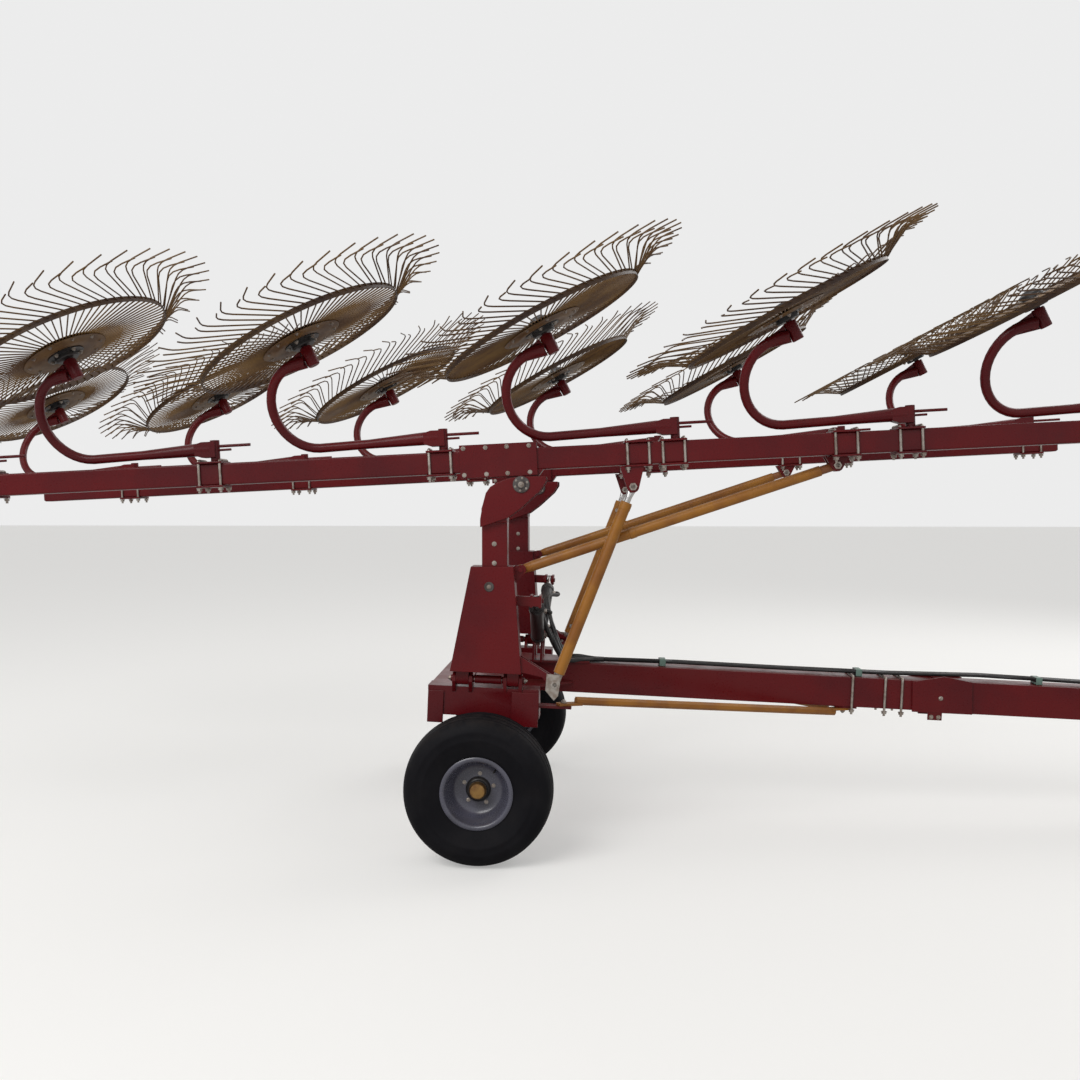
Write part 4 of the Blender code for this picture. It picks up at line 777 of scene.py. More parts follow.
def tinePath(leg, tip):
    points = [(tineSizes["root"], 0.0, 0.0), (tineSizes["hoopRadius"], 0.0, 0.0)]
    for rise, lag, reach in (leg, tip):
        points.append((points[-1][0] + reach, points[-1][1] + lag, points[-1][2] + rise))
    return softCorners(points, (tineSizes["hoopBend"], tineSizes["bend"]), 3)


def buildTines():
    pair = bmesh.new()
    between = 2.0 * math.pi / tineSizes["pairs"] * tineSizes["shortAhead"]
    for leg, turn in (("long", 0.0), ("short", between)):
        path = tinePath(tineSizes[leg + "Leg"], tineSizes[leg + "Tip"])
        sweepTube(pair, path, tineSizes["wire"], 6, Matrix.Rotation(turn, 4, "Z"))
    # the tines take their yellow partly darkened into a painted shade
    return ringMesh("tines", pair, tineSizes["pairs"], "tineGoldInPaintedShade", 60.0)


def buildHoop():
    shape = bmesh.new()
    inner, half = tineSizes["hoopRadius"] - tineSizes["hoopThick"] / 2.0, tineSizes["hoopWidth"] / 2.0
    outer = inner + tineSizes["hoopThick"]
    turnProfile(shape, [(inner, -half), (outer, -half), (outer, half), (inner, half)], 96, Matrix())
    return shape


def buildPlates():
    shape = bmesh.new()
    hole, radius, (start, low, high, stop) = wheelPlate["hole"], wheelPlate["radius"], wheelPlate["ridge"]
    chamfer, lip = wheelPlate["edge"]
    for side in (-1.0, 1.0):
        inner, outer = side * wheelPlate["apart"], side * (wheelPlate["apart"] + wheelPlate["thick"])
        rise = side * wheelPlate["ridgeRise"]
        profile = [(hole, inner), (hole, outer), (start, outer), (low, outer + rise), (high, outer + rise),
                   (stop, outer), (radius - chamfer, outer), (radius, inner + side * lip),
                   (radius - chamfer, inner), (stop, inner), (high, inner + rise), (low, inner + rise),
                   (start, inner)]
        turnProfile(shape, profile, 72, Matrix())
    return shape


def buildHub(top):
    shape = bmesh.new()
    radius, back, flange, chamfer = (wheelHub[key] for key in ("radius", "back", "flange", "chamfer"))
    step, face = top + wheelHub["flangeRise"], top + wheelHub["height"]
    profile = [(0.0, -back), (radius - chamfer, -back), (radius, chamfer - back), (radius, -step), (flange, -step),
               (flange, step), (radius, step + wheelHub["fillet"]), (radius - chamfer, face - wheelHub["shoulder"])]
    profile += [(wheelHub["cap"] + out, face + rise) for out, rise in wheelHub["dome"]]
    profile.append((0.0, face + wheelHub["domeTop"]))
    turnProfile(shape, profile, 40, Matrix())
    return shape


def buildWheelMeshes():
    top = wheelPlate["apart"] + wheelPlate["thick"]
    meshes = {"tines": buildTines()}
    # the plates take their yellow darkened into a painted shade
    for name, shape, finishName in (("hoop", buildHoop(), "hoopBand"), ("plates", buildPlates(), "plateOchreInPaintedShade"),
                                    ("hub", buildHub(top), "blackPaint")):
        meshes[name] = shadedMesh(name, shape, 30.0, finishName)
    places, flangeTop = [], top + wheelHub["flangeRise"]
    for side in (-1.0, 1.0):
        for (ring, count, size), level in ((wheelPlate["bolts"], top), (wheelHub["bolts"], flangeTop)):
            for angle in turnsOf(count, 0.5):
                spot = (ring * math.cos(angle), ring * math.sin(angle), side * level)
                places.append((spot, (0.0, 0.0, side), size))
    meshes["bolts"] = copiesMesh("wheelBolts", "bolt", places)
    return meshes


def placeWheels():
    wheelMeshes = buildWheelMeshes()
    for number in range(machine["arms"]):
        place = wheelFrame(number) @ Matrix.Rotation(math.radians(wheelHub["turnStep"]) * number, 4, "Z")
        for part, mesh in wheelMeshes.items():
            for side in ("right", "left"):
                piece = linkPiece("%s_wheel_%d_%s" % (side, number + 1, part), mesh.copy())
                piece.data.transform(place)
                if side == "left":
                    mirrorMesh(piece.data)
                body = "%s_rake_wheel_%d" % (side, number + 1)
                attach(piece, body)
                if part == "hub":
                    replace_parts(piece, body)


placeWheels()
print("rake wheels built")

# sprung arms: a sleeve over the beam, a tapered gusset, and a tube bent round to the wheel's spindle
armSizes = {
    "pivotAhead": 0.5387, "hubOut": 0.1995, "low": 0.0975, "high": 0.117, "back": -0.03, "bend": 0.185,
    "bendSteps": 20, "bendLead": (0.06, 0.002), "tube": 0.0213, "root": 0.030, "rootStart": 0.02,
    "rootLength": 0.34, "rootDrop": 0.012, "flare": 0.006, "flareFrom": 14, "flarePower": 1.5,
    "web": (0.030, 0.050), "webHalf": 0.0065, "webRoot": 0.8, "sleeve": (0.0215, 0.0625, 0.158),
    "blockRear": 0.088, "blockNeck": 0.054, "blockFront": 0.008, "blockHalf": 0.030, "blockLow": 0.079,
    "blockHigh": 0.151, "blockTaper": (0.024, 0.026),
    # the two rods ahead of the sleeve: radius, reach and height
    "rods": ((0.0070, 0.165, 0.130), (0.0056, 0.075, 0.112)), "rodStart": 0.004, "rodRise": 0.001,
    "spindle": (
        (0.0, -0.126), (0.023, -0.126), (0.027, -0.122), (0.029, -0.044), (0.026, -0.038), (0.014, -0.038),
        (0.014, 0.012), (0.0, 0.012),
    ),
}


def armStation(number):
    return (beamFrame.inverted() @ wheelFrame(number) @ Vector((0.0, 0.0, -machine["wheelAboveArm"]))).x


def addArmWeb(shape, path, axis):
    # a flat plate from the end of the bend to the spindle
    root, end = path[-5], path[-1]
    across = (end - path[-3]).normalized().cross(axis).normalized()
    outward = across.cross((path[-4] - path[-6]).normalized()).normalized() * armSizes["tube"] * armSizes["webRoot"]
    low, high = armSizes["web"]
    corners = [root + outward, end + axis * high, end - axis * low, root - outward]
    addSlab(shape, [beamFrame @ corner for corner in corners], beamFrame.to_3x3() @ across * armSizes["webHalf"])


def buildArm(number):
    sizes, shape = armSizes, bmesh.new()
    low, high, bend, tube = (sizes[key] for key in ("low", "high", "bend", "tube"))
    rear, neck = sizes["blockRear"], sizes["blockNeck"]
    pivot, back = armStation(number) + sizes["pivotAhead"], armStation(number) + sizes["back"]
    lead, rise = sizes["bendLead"]
    path = [(pivot - sizes["rootStart"], 0.0, high), (pivot - rear, 0.0, high),
            (pivot - sizes["rootLength"], 0.0, high - sizes["rootDrop"]), (back + lead, 0.0, low + rise)]
    radii = [sizes["root"], sizes["root"], tube, tube]
    steps, first = sizes["bendSteps"], sizes["flareFrom"]
    for k in range(steps + 1):
        turn = math.pi * k / steps
        path.append((back - bend * math.sin(turn), -sizes["hubOut"] * (1.0 - math.cos(turn)) / 2.0,
                     low + bend * (1.0 - math.cos(turn))))
        radii.append(tube + sizes["flare"] * max(0.0, (k - first) / (steps - first)) ** sizes["flarePower"])
    path = [Vector(point) for point in path]
    sweepTube(shape, path, radii, 20, beamFrame)
    addArmWeb(shape, path, (beamFrame.inverted() @ wheelFrame(number)).to_3x3() @ upward)
    turnProfile(shape, sizes["spindle"], 28, wheelFrame(number))
    radius, foot, top = sizes["sleeve"]
    addDisc(shape, radius, foot, top, 28, beamFrame @ Matrix.Translation((pivot, 0.0, 0.0)))
    front, blockLow, blockHigh = pivot + sizes["blockFront"], sizes["blockLow"], sizes["blockHigh"]
    over, under = sizes["blockTaper"]
    block = [(pivot - rear, high + over), (pivot - neck, blockHigh), (front, blockHigh), (front, blockLow),
             (pivot - neck, blockLow), (pivot - rear, high - under)]
    addPrism(shape, block, -sizes["blockHalf"], sizes["blockHalf"], beamFrame)
    for rod, reach, height in sizes["rods"]:
        ends = [(pivot + sizes["rodStart"], 0.0, height), (pivot + reach, 0.0, height + sizes["rodRise"])]
        sweepTube(shape, ends, rod, 12, beamFrame)
    bmesh.ops.recalc_face_normals(shape, faces=shape.faces)
    return shape


for number in range(machine["arms"]):
    bothSides("arm_%d" % (number + 1), buildArm(number), "crimsonPaint", "beam", ("wheel_arm_%d" % (number + 1),))
print("arms built")

# rake beams: a square tube, head plates with bolts, and a pair of plates with U-bolts at every arm and strut
beamSizes = {
    "tail": 0.020, "nose": 0.1293, "corner": 0.008, "cap": 0.006, "capOut": 0.004, "headRear": -0.280,
    "headFront": 0.070, "headHalf": 0.075, "headFace": 0.062, "boltAlong": (-0.262, -0.161, -0.065, 0.036),
    "boltRise": 0.060, "boltSize": 0.0165, "bossRadius": 0.040, "bossHalf": 0.064, "saddleHalf": 0.047,
    "saddle": ((-0.100, -0.045), (-0.045, -0.115), (0.045, -0.115), (0.100, -0.045)), "boltTurn": 9.0,
    # how far clamp plates, head plates and caps are let into the tube
    "clampLap": 0.0002, "headLap": 0.0005, "capLap": 0.001,
}
lugSizes = {
    "gap": 0.0145, "plate": 0.012, "radius": 0.028, "half": 0.055, "sunk": 0.004, "pin": 0.0118,
    "pinPast": 0.036, "pinSunk": 0.0005, "pinHead": 0.019, "corners": (-155.0, -130.0, -105.0, -75.0, -50.0, -25.0),
}


def buildBeamPlates():
    plates, pins, uBolts = bmesh.new(), bmesh.new(), []
    half, thick, radius, gap = clampSizes["tube"], clampSizes["thick"], lugSizes["radius"], lugSizes["gap"]
    stations = [armStation(n) + armSizes["pivotAhead"] + clampSizes["armShift"] for n in range(machine["arms"])]
    for name in ("width_strut", "opening_cylinder"):
        foot, along, pinAxis = strutLine(name)
        head = beamFrame.inverted() @ (foot + along * strutSizes[name]["length"])
        turns = [math.radians(angle) for angle in lugSizes["corners"]]
        outline = [(head.x - lugSizes["half"], -half - lugSizes["sunk"])]
        outline += [(head.x + radius * math.cos(a), head.z + radius * math.sin(a)) for a in turns]
        outline += [(head.x + lugSizes["half"], -half - lugSizes["sunk"])]
        for side in (-1.0, 1.0):
            near = head.y + side * gap
            addPrism(plates, outline, near, near + side * lugSizes["plate"], beamFrame)
            addPin(pins, head, (0.0, side, 0.0), gap - lugSizes["pinSunk"], lugSizes["pinPast"], lugSizes["pin"],
                   beamFrame, 18, lugSizes["pinHead"])
        stations.append(head.x + clampSizes["strutShift"])
    wide, reach, lap = clampSizes["wide"], clampSizes["half"], beamSizes["clampLap"]
    for station in stations:
        for level in (half - lap, -half - thick + lap):
            addBox(plates, (station - reach, -wide, level), (station + reach, wide, level + thick), beamFrame)
        for side in (-1.0, 1.0):
            spot = Vector((station + side * clampSizes["apart"] / 2.0, 0.0, 0.0))
            uBolts.append((beamFrame @ spot, beamFrame, 1.0))
    rear, front, tall, boss = (beamSizes[key] for key in ("headRear", "headFront", "headHalf", "bossHalf"))
    for side in (-1.0, 1.0):
        addPrism(plates, [(rear, -tall), (front, -tall), (front, tall), (rear, tall)],
                 side * (half - beamSizes["headLap"]), side * beamSizes["headFace"], beamFrame)
    addPrism(plates, beamSizes["saddle"], -beamSizes["saddleHalf"], beamSizes["saddleHalf"], beamFrame)
    addPin(plates, (0.0, 0.0, 0.0), (0.0, 1.0, 0.0), -boss, boss, beamSizes["bossRadius"], towerFrame, 36)
    return plates, pins, uBolts


def buildBeams():
    half, out = clampSizes["tube"], beamSizes["capOut"]
    start = armStation(0) - beamSizes["tail"]
    end = armStation(machine["arms"] - 1) + armSizes["pivotAhead"] + beamSizes["nose"]
    tube, caps = bmesh.new(), bmesh.new()
    addBox(tube, (start, -half, -half), (end, half, half), beamFrame)
    inner, lap = half - beamSizes["cap"], beamSizes["capLap"]
    for low, high in ((start - out, start + lap), (end - lap, end + out)):
        addBox(caps, (low, -inner, -inner), (high, inner, inner), beamFrame)
    plates, pins, uBolts = buildBeamPlates()
    bothSides("beam_tube", tube, "crimsonPaint", "beam", ("rake_beam",), rounding=beamSizes["corner"], segments=3)
    bothSides("beam_caps", caps, "crimsonPaint", "beam", rounding=0.0015)
    bothSides("beam_plates", plates, "crimsonPaint", "beam", rounding=0.0018)
    bothSides("beam_lug_pins", pins, "zincSteel", "beam")
    pairOfCopies("beam_u_bolts", "beamUBolt", uBolts, "beam")
    # the lower row has flat heads, because it passes inside the post's cheeks when the beam opens
    for name, template, row in (("beam_head_bolts", "bolt", 1.0), ("beam_flat_bolts", "flatBolt", -1.0)):
        bolts = []
        for side in (-1.0, 1.0):
            for along in beamSizes["boltAlong"]:
                spot = beamFrame @ Vector((along, side * beamSizes["headFace"], row * beamSizes["boltRise"]))
                outward = facingOut(beamFrame, (0.0, side, 0.0), along * beamSizes["boltTurn"])
                bolts.append((spot, outward, beamSizes["boltSize"]))
        pairOfCopies(name, template, bolts, "beam")


# towers: square post with a collar, two cheeks with a slanting lower edge, and the flange of the head pin
towerSizes = {
    "rear": -0.180, "front": -0.065, "half": 0.0575, "foot": -0.6172, "top": -0.0977,
    "collar": (-0.172, -0.104), "cheekIn": 0.070, "cheekOut": 0.085, "flange": 0.038, "flangeFace": 0.091,
    "flangeOut": 0.097, "boss": 0.019,
    "cheek": (
        (-0.186, -0.1925), (-0.186, -0.1577), (-0.176, -0.098), (-0.160, -0.0378), (-0.140, -0.010),
        (-0.111, 0.0073), (-0.082, 0.020), (-0.050, 0.0303), (0.000, 0.035), (0.055, 0.0372), (0.112, 0.0372),
        (0.112, 0.0123), (0.086, -0.0277), (0.000, -0.1056), (-0.059, -0.150),
    ),
    "pinBolt": 0.022, "postAlong": -0.124, "postHeights": (-0.2687, -0.3557), "postBolt": 0.0175,
    "footSpot": (-0.147, -0.0702, -0.4627), "footBolt": 0.0165, "recess": 0.0225, "recessOut": 0.003,
    "ring": 0.0285, "ringCount": 6, "ringStart": 0.35, "ringBolt": 0.0085, "boltTurn": 0.3, "footTurn": 0.2,
    "lap": 0.001,
}


def buildTowers():
    sizes = towerSizes
    post, flange, recess, bolts = bmesh.new(), bmesh.new(), bmesh.new(), []
    half, near, face, ring, lap = (sizes[key] for key in ("half", "cheekIn", "flangeFace", "ring", "lap"))
    addBox(post, (sizes["rear"], -half, sizes["foot"]), (sizes["front"], half, sizes["top"]), towerFrame)
    low, high = sizes["collar"]
    addBox(post, (sizes["rear"] - lap, -near - lap, low), (sizes["front"], near + lap, high), towerFrame)
    middle = (0.0, 0.0, 0.0)
    for side in (-1.0, 1.0):
        addPrism(post, sizes["cheek"], side * near, side * sizes["cheekOut"], towerFrame)
        addPin(flange, middle, (0.0, side, 0.0), near, face, sizes["flange"], towerFrame, 40)
        addPin(flange, middle, (0.0, side, 0.0), near, sizes["flangeOut"], sizes["boss"], towerFrame, 28)
        spots = [((0.0, side * (sizes["flangeOut"] - lap), 0.0), sizes["pinBolt"])]
        spots += [((ring * math.cos(angle), side * face, ring * math.sin(angle)), sizes["ringBolt"])
                  for angle in turnsOf(sizes["ringCount"], sizes["ringStart"])]
        spots += [((sizes["postAlong"], side * half, height), sizes["postBolt"]) for height in sizes["postHeights"]]
        outward = facingOut(towerFrame, (0.0, side, 0.0), sizes["boltTurn"])
        bolts += [(towerFrame @ Vector(spot), outward, size) for spot, size in spots]
    foot, away, out = Vector(sizes["footSpot"]), Vector((0.0, -1.0, 0.0)), sizes["recessOut"]
    addPin(recess, foot, away, -lap, out, sizes["recess"], towerFrame, 28)
    outward = facingOut(towerFrame, away, sizes["footTurn"])
    bolts.append((towerFrame @ (foot + away * out), outward, sizes["footBolt"]))
    bothSides("post_body", post, "crimsonPaint", "tower", ("tower_post",), rounding=0.003)
    bothSides("head_flange", flange, "darkSteel", "tower")
    bothSides("foot_recess", recess, "darkSteel", "tower")
    pairOfCopies("tower_bolts", "bolt", bolts, "tower")


buildTowers()
print("towers built")

# struts and cylinders: foot pin from the joint, head pin along the slide, both ends flattened to an eye
strutSizes = {
    "width_strut": {
        "length": 1.5157, "share": 0.950, "barrel": 0.024, "rod": 0.0200, "collar": 0.0262, "neck": 0.050,
        "collars": (0.36,), "finish": "ochrePaint", "rodFinish": "umberPaint", "ports": (),
    },
    "opening_cylinder": {
        "length": 0.9669, "share": 0.922, "barrel": 0.026, "rod": 0.0150, "collar": 0.0275, "neck": 0.052,
        "collars": (0.905,), "finish": "ochrePaint", "rodFinish": "chromeRod", "ports": (0.100, 0.055),
        "portSide": -1.0,
    },
    "fold_cylinder": {
        "length": 0.6111, "share": 0.850, "barrel": 0.033, "rod": 0.0165, "collar": 0.0370, "neck": 0.052,
        "collars": (0.135, 0.815), "finish": "blackPaint", "rodFinish": "chromeRod", "ports": (0.100, 0.055),
        "portSide": 1.0,
    },
}
eyeSizes = {
    "radius": 0.024, "half": 0.0119, "bore": 0.0123, "flatWide": 0.020, "flatStart": 0.012, "play": 0.0006,
    "chamfer": 0.002, "flatSteps": (0.0, 0.12, 0.35, 0.65, 0.88, 1.0), "flatThin": 0.97, "flatFit": 0.985,
    "flatLap": 0.004, "mouth": 0.001, "boreStart": 0.015, "rodStart": 0.019,
    "collarSteps": (-0.020, -0.018, 0.010, 0.012), "portSunk": 0.004,
    "port": ((0.0, 0.0), (0.009, 0.0), (0.009, 0.012), (0.012, 0.012), (0.012, 0.020), (0.0, 0.020)),
}


def quarterTurn(place, way):
    return place @ Matrix.Rotation(math.radians(-90.0 * way), 4, "X")


def addEye(shape, place, bored):
    radius, half, chamfer = eyeSizes["radius"], eyeSizes["half"], eyeSizes["chamfer"]
    core = eyeSizes["bore"] if bored else 0.0
    profile = [(core, -half), (radius - chamfer, -half), (radius, -half + chamfer), (radius, half - chamfer),
               (radius - chamfer, half), (core, half)]
    turnProfile(shape, profile, 32, quarterTurn(place, 1.0))


def addFlatEnd(shape, place, far, radius):
    # a tube pressed flat: round at the far end, as thin as the eye at the near end
    rings, near, flat = [], eyeSizes["flatStart"], eyeSizes["flatWide"]
    thick = eyeSizes["half"] * eyeSizes["flatThin"]
    for share in eyeSizes["flatSteps"]:
        ease = share * share * (3.0 - 2.0 * share)
        wide, thin = flat + (radius - flat) * ease, thick + (radius - thick) * ease
        level = near + (far - near) * share
        rings.append([shape.verts.new(place @ Vector((wide * math.cos(a), thin * math.sin(a), level)))
                      for a in turnsOf(24)])
    joinRings(shape, rings)


def buildCylinder(name, sizes):
    foot, along, pinAxis = strutLine(name)
    length, neck, radius, rodRadius = sizes["length"], sizes["neck"], sizes["barrel"], sizes["rod"]
    place = frameOfAxes(foot, pinAxis.cross(along).normalized(), pinAxis, along)
    headPlace = frameOfAxes(foot + along * length, pinAxis.cross(-along).normalized(), pinAxis, -along)
    mouth, bore = length * sizes["share"], rodRadius + eyeSizes["play"]
    barrel, rod, tongues = bmesh.new(), bmesh.new(), bmesh.new()
    fit, lap, edge = eyeSizes["flatFit"], neck + eyeSizes["flatLap"], eyeSizes["mouth"]
    profile = [(0.0, neck), (radius - edge, neck), (radius, neck + edge)]
    for share in sizes["collars"]:
        levels = [length * share + step for step in eyeSizes["collarSteps"]]
        profile += zip((radius, sizes["collar"], sizes["collar"], radius), levels)
    floor = neck + eyeSizes["boreStart"]
    profile += [(radius, mouth - edge), (radius - edge, mouth), (bore, mouth), (bore, floor), (0.0, floor)]
    turnProfile(barrel, profile, 36, place)
    # a cylinder's foot is a bare tongue, a strut's is the tube itself
    ending = tongues if sizes["ports"] else barrel
    addFlatEnd(ending, place, lap, eyeSizes["flatWide"] if sizes["ports"] else radius * fit)
    addEye(ending, place, True)
    addDisc(rod, rodRadius, neck + eyeSizes["rodStart"], length - neck, 32, place)
    addFlatEnd(rod, headPlace, lap, rodRadius * fit)
    addEye(rod, headPlace, False)
    bothSides(name + "_barrel_tube", barrel, sizes["finish"], name + "_barrel", (name + "_barrel",))
    bothSides(name + "_rod_bar", rod, sizes["rodFinish"], name + "_rod", (name + "_rod",))
    if sizes["ports"]:
        side, (first, last) = sizes["portSide"], sizes["ports"]
        for level in (first, mouth - last):
            spot = place @ Matrix.Translation((0.0, side * (radius - eyeSizes["portSunk"]), level))
            turnProfile(tongues, eyeSizes["port"], 6, quarterTurn(spot, side))
        bothSides(name + "_tongue", tongues, "zincSteel", name + "_barrel")


for strutName, sizes in strutSizes.items():
    buildCylinder(strutName, sizes)
buildBeams()
print("struts, cylinders and beams built")

# road wheels: ribbed tyre, dished disc with five bolts, black hub ring, brass cap and valve
tyreHalf = [
    (0.150, -0.088), (0.160, -0.0985), (0.172, -0.1015), (0.200, -0.1135), (0.236, -0.1235), (0.240, -0.1247),
    (0.246, -0.1240), (0.268, -0.1225), (0.274, -0.1232), (0.280, -0.1212), (0.298, -0.1150), (0.314, -0.1030),
    (0.322, -0.0930), (0.3275, -0.0800), (0.3200, -0.0785), (0.3195, -0.0700), (0.3275, -0.0685),
    (0.3330, -0.0480), (0.3250, -0.0465), (0.3245, -0.0385), (0.3330, -0.0370), (0.3365, -0.0130),
    (0.3285, -0.0115), (0.3285, -0.0040), (0.3370, -0.0025),
]
rimProfile = [
    (0.0226, -0.034), (0.036, -0.034), (0.038, -0.030), (0.040, -0.014), (0.060, -0.010), (0.085, -0.006),
    (0.104, -0.010), (0.116, -0.020), (0.124, -0.036), (0.130, -0.056), (0.136, -0.076), (0.139, -0.092),
    (0.143, -0.103), (0.150, -0.1075), (0.158, -0.1070), (0.1630, -0.1035), (0.1625, -0.1010),
    (0.1570, -0.1020), (0.1510, -0.1000), (0.1475, -0.0890), (0.1475, 0.0890), (0.1510, 0.1000),
    (0.1570, 0.1020), (0.1625, 0.1010), (0.1630, 0.1035), (0.158, 0.1070), (0.150, 0.1075), (0.143, 0.103),
    (0.139, 0.070), (0.137, 0.020), (0.126, 0.004), (0.104, -0.002), (0.060, 0.000), (0.042, 0.002),
    (0.042, 0.085), (0.0226, 0.085),
]
bossProfile = [
    (0.0, -0.030), (0.056, -0.012), (0.056, -0.020), (0.052, -0.026), (0.044, -0.030), (0.042, -0.040),
    (0.0, -0.040),
]
capProfile = [
    (0.0, -0.030), (0.041, -0.030), (0.041, -0.037), (0.040, -0.039), (0.038, -0.053), (0.032, -0.0605),
    (0.024, -0.062), (0.0, -0.062),
]
roadWheel = {
    "tyreSides": 96, "rimSides": 72, "bolts": 5, "firstBolt": -0.167, "boltRing": 0.069, "boltFace": -0.0088,
    "boltSize": 0.0150, "valveAngle": -50.0, "valveRadii": [0.0058, 0.0050, 0.0042],
    "valve": ((0.134, -0.050), (0.127, -0.064), (0.118, -0.086)),
}


def buildRoadWheel():
    axle = quarterTurn(Matrix.Translation(jointSpot("road_wheel_spin")), 1.0)
    tyreProfile = tyreHalf + [(radius, -out) for radius, out in tyreHalf[::-1]]
    for name, profile, sides, finishName, replaced, smoothAngle in (
            ("tyre_carcass", tyreProfile, roadWheel["tyreSides"], "tyreRubber", ("tyre",), 28.0),
            ("rim_disc", rimProfile, roadWheel["rimSides"], "rimGrey", ("rim",), 40.0),
            ("rim_boss", bossProfile, 40, "blackPaint", (), 35.0),
            ("rim_cap", capProfile, 40, "brassCap", (), 40.0)):
        shape = bmesh.new()
        turnProfile(shape, profile, sides, axle)
        bothSides(name, shape, finishName, "road_wheel", replaced, smoothAngle)
    bolts, ring = [], roadWheel["boltRing"]
    for angle in turnsOf(roadWheel["bolts"], roadWheel["firstBolt"]):
        spot = Vector((ring * math.cos(angle), ring * math.sin(angle), roadWheel["boltFace"]))
        bolts.append((axle @ spot, facingOut(axle, (0.0, 0.0, -1.0), angle), roadWheel["boltSize"]))
    pairOfCopies("rim_bolts", "bolt", bolts, "road_wheel")
    valve, angle = bmesh.new(), math.radians(roadWheel["valveAngle"])
    stem = [(ring * math.cos(angle), ring * math.sin(angle), out) for ring, out in roadWheel["valve"]]
    sweepTube(valve, stem, roadWheel["valveRadii"], 10, axle)
    bothSides("rim_valve", valve, "hoseRubber", "road_wheel")


buildRoadWheel()
print("road wheels built")

# hoses on the drawbar in their clips, and from the fold cylinders down to them
hoseSizes = {
    "radius": 0.0112, "rearSpot": (0.360, 0.017, 0.0925), "ports": ((0.465, 0.014), (0.100, 0.016)),
    "portOut": 0.050, "portDrop": 0.020, "innerBack": 0.10, "innerShare": 0.6, "rearPast": 0.012,
    # two points of each hose from the head pin, then two from the drawbar's line at the head pin
    "over": ((0.066, 0.405, -0.630), (0.096, 0.560, -0.735)),
    "low": ((0.150, -0.060, 0.1040), (0.160, -0.110, 0.1060)),
    "coupling": (
        (0.0, 0.0), (0.0130, 0.0), (0.0130, 0.028), (0.0160, 0.030), (0.0160, 0.050), (0.0125, 0.052),
        (0.0125, 0.076), (0.0, 0.076),
    ),
    "clips": ((0.680, 0.0762), (1.690, 0.0762), (2.600, 0.0802), (3.500, 0.0802)), "clipHalf": (0.0165, 0.038),
    "clipTall": 0.0375, "frontSlack": 0.004, "couplingSunk": 0.018,
}


def spline(points, steps=8):
    path, padded = [], [points[0], *points, points[-1]]
    for before, start, end, after in zip(padded, padded[1:], padded[2:], padded[3:]):
        bend = 2.0 * before - 5.0 * start + 4.0 * end - after
        twist = 3.0 * start - before - 3.0 * end + after
        for n in range(steps):
            t = n / steps
            path.append(0.5 * ((2.0 * start) + (end - before) * t + bend * t ** 2 + twist * t ** 3))
    path.append(points[-1])
    return path


def buildClips():
    shape, (along, wide) = bmesh.new(), hoseSizes["clipHalf"]
    for station, low in hoseSizes["clips"]:
        high = low + hoseSizes["clipTall"]
        addBox(shape, (station - along, -wide, low), (station + along, wide, high), drawbarFrame)
    # the clips' green carries a painted highlight
    framePiece("hose_clips", shape, "clipGreenWithPaintedHighlight", rounding=0.004)


def buildDrawbarHoses():
    shape, couplings = weldedShape("hydraulic_hoses"), bmesh.new()
    corners = [drawbarFrame.inverted() @ corner.co for corner in shape.verts]
    front = max(corner.x for corner in corners)
    ends = [corner for corner in corners if corner.x > front - hoseSizes["frontSlack"]]
    out, height = sum(abs(end.y) for end in ends) / len(ends), sum(end.z for end in ends) / len(ends)
    for side in (-1.0, 1.0):
        spot = drawbarFrame @ Matrix.Translation((front - hoseSizes["couplingSunk"], side * out, height))
        turnProfile(couplings, hoseSizes["coupling"], 16, spot @ Matrix.Rotation(math.radians(90.0), 4, "Y"))
    framePiece("hose_couplings", couplings, "brassCap", 30.0)
    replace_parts(framePiece("hydraulic_hoses_skin", shape, "hoseRubber", 75.0), "hydraulic_hoses")


def buildFoldHoses():
    foot, along, pinAxis = strutLine("fold_cylinder")
    rear = Vector(hoseSizes["rearSpot"])
    for number, (level, reach) in enumerate(hoseSizes["ports"]):
        start = foot + along * level + pinAxis * hoseSizes["portOut"]
        low = Vector(hoseSizes["low"][number])
        inner = Vector((rear.x - hoseSizes["innerBack"], low.y * hoseSizes["innerShare"], rear.z))
        final = Vector((rear.x + hoseSizes["rearPast"], rear.y, rear.z))
        if number == 0:
            final.y = -rear.y
        bent = start + pinAxis * reach - along * hoseSizes["portDrop"]
        points = [start, bent, headPin + Vector(hoseSizes["over"][number])]
        points += [drawbarFrame @ spot for spot in (low, inner, final)]
        shape = bmesh.new()
        sweepTube(shape, spline(points), hoseSizes["radius"], 10)
        bmesh.ops.recalc_face_normals(shape, faces=shape.faces)
        hose = shadedMesh("fold_hose", shape, 60.0, "hoseRubber")
        for side, way, mesh in (("right", 1.0, hose), ("left", -1.0, hose.copy())):
            if side == "left":
                mirrorMesh(mesh)
            piece = linkPiece("%s_fold_hose_%d" % (side, number + 1), mesh)
            near, far = [(point.x, point.y * way, point.z) for point in (points[1], points[3])]
            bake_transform(piece, side + "_fold_cylinder_barrel", "frame", start=near, end=far)


buildClips()
buildDrawbarHoses()
buildFoldHoses()
print("hoses built")

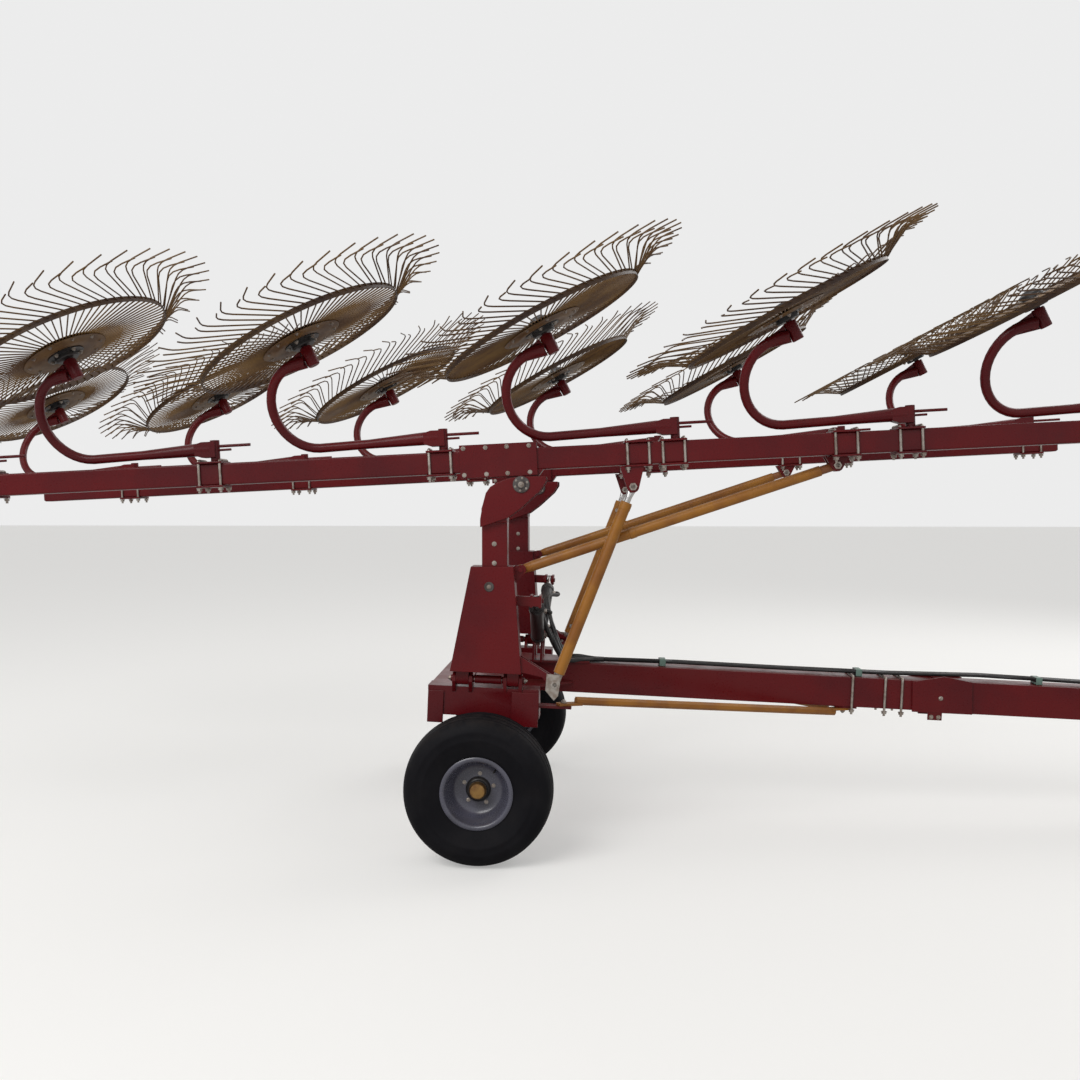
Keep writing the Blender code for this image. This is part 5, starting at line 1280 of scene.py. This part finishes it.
# plates on the frame: a deck with a turned-down edge, lugs under the splice, pads, covers and hinge tubes
framePlates = {
    "rear": -0.4345, "front": -0.262, "half": 0.624, "top": 0.0415, "thick": 0.010, "deep": 0.086,
    "lug": (2.034, 2.106, -0.120, -0.066), "lugIn": 0.0780, "lugFace": 0.0866,
    "pads": ((-0.435, -0.362, -0.128, 0.020), (-0.048, 0.077, -0.128, 0.030)), "padIn": 0.7395,
    "padOut": 0.7485,
    "cover": (
        (-0.036, 0.050), (0.022, 0.044), (0.024, 0.0), (0.016, -0.050), (-0.004, -0.072), (-0.042, -0.026),
    ),
    "coverIn": 0.0268, "coverOut": 0.0345, "coverPin": 0.013, "coverHead": 0.019,
    "coverPast": 0.006, "hingeTube": (-0.0985, 0.0235, 0.0195), "lap": 0.001,
}
# bolts on the frame and drawbar
frameBolts = {
    "uBolts": (1.650, 1.815, 1.900),
    "splice": ((2.051, -0.104, 0.0866), (2.088, -0.104, 0.0866), (2.094, -0.006, 0.088)), "spliceSize": 0.019,
    "flangeFront": 3.880, "flangeReach": 0.062, "flangeSize": 0.024,
    "hingeEnds": ((-0.209, -1.0), (-0.101, 1.0), (0.026, -1.0), (0.129, 1.0)), "hingeSize": 0.022,
    # along, out, height and which way up
    "stayEnds": ((0.190, 0.670, -0.020, 1.0), (1.615, 0.042, -0.100, -1.0)), "staySize": 0.024,
}


def buildFramePlates():
    sizes = framePlates
    deck, pads, covers, tubes = bmesh.new(), bmesh.new(), bmesh.new(), bmesh.new()
    rear, front, half, top, thick, deep = (sizes[key] for key in ("rear", "front", "half", "top", "thick", "deep"))
    addBox(deck, (rear, -half, top - thick), (front, half, top), drawbarFrame)
    addBox(deck, (rear, -half, -deep), (rear + thick, half, top - thick + sizes["lap"]), drawbarFrame)
    near, far, foot, head = sizes["lug"]
    for side in (-1.0, 1.0):
        addBox(deck, (near, side * sizes["lugIn"], foot), (far, side * sizes["lugFace"], head), drawbarFrame)
    for near, far, foot, head in sizes["pads"]:
        addBox(pads, (near, -sizes["padOut"], foot), (far, -sizes["padIn"], head), drawbarFrame)
    low, high, radius = sizes["hingeTube"]
    addPin(tubes, (0.0, 0.0, 0.0), (1.0, 0.0, 0.0), low, high, radius, foldFrame, 28)
    bothSides("hinge_tube", tubes, "crimsonPaint", "frame")
    place = axesFrame(strutLine("opening_cylinder")[0], towerAhead, towerAcross)
    inner, outer, past = sizes["coverIn"], sizes["coverOut"], sizes["coverPast"]
    addPrism(covers, sizes["cover"], -outer, -inner, place)
    addPin(covers, (0.0, 0.0, 0.0), (0.0, -1.0, 0.0), inner, outer + past, sizes["coverPin"], place, 20,
           sizes["coverHead"])
    framePiece("rear_deck", deck, "crimsonPaint", rounding=0.002)
    bothSides("frame_pads", pads, "crimsonPaint", "frame", rounding=0.002)
    bothSides("foot_cover", covers, "zincSteel", "tower", rounding=0.0015)


def buildFrameBolts():
    sizes, spots = frameBolts, []
    reach = sizes["flangeReach"]
    for side in (-1.0, 1.0):
        spots += [((along, side * face, rise), (0.0, side, 0.0), along, sizes["spliceSize"])
                  for along, rise, face in sizes["splice"]]
        spots += [((sizes["flangeFront"], side * reach, rise * reach), (1.0, 0.0, 0.0), reach, sizes["flangeSize"])
                  for rise in (-1.0, 1.0)]
        spots += [((along, side * out, height), (0.0, 0.0, way), out, sizes["staySize"])
                  for along, out, height, way in sizes["stayEnds"]]
    bolts = [(drawbarFrame @ Vector(spot), facingOut(drawbarFrame, way, turn), size)
             for spot, way, turn, size in spots]
    for side in (-1.0, 1.0):
        mirror = Vector((1.0, side, 1.0))
        for end, way in sizes["hingeEnds"]:
            spot, outward = foldFrame @ Vector((end, 0.0, 0.0)), foldFrame.to_3x3() @ Vector((way, 0.0, 0.0))
            bolts.append((spot * mirror, outward * mirror, sizes["hingeSize"]))
    uBolts = [(drawbarFrame @ Vector((station, 0.0, 0.0)), drawbarFrame, 1.0) for station in sizes["uBolts"]]
    for name, template, places in (("drawbar_u_bolts", "drawbarUBolt", uBolts), ("frame_bolts", "bolt", bolts)):
        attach(linkPiece(name, copiesMesh(name, template, places)), "frame")


buildFramePlates()
buildFrameBolts()
for template in templates.values():
    bpy.data.objects.remove(template)
print("frame details built")
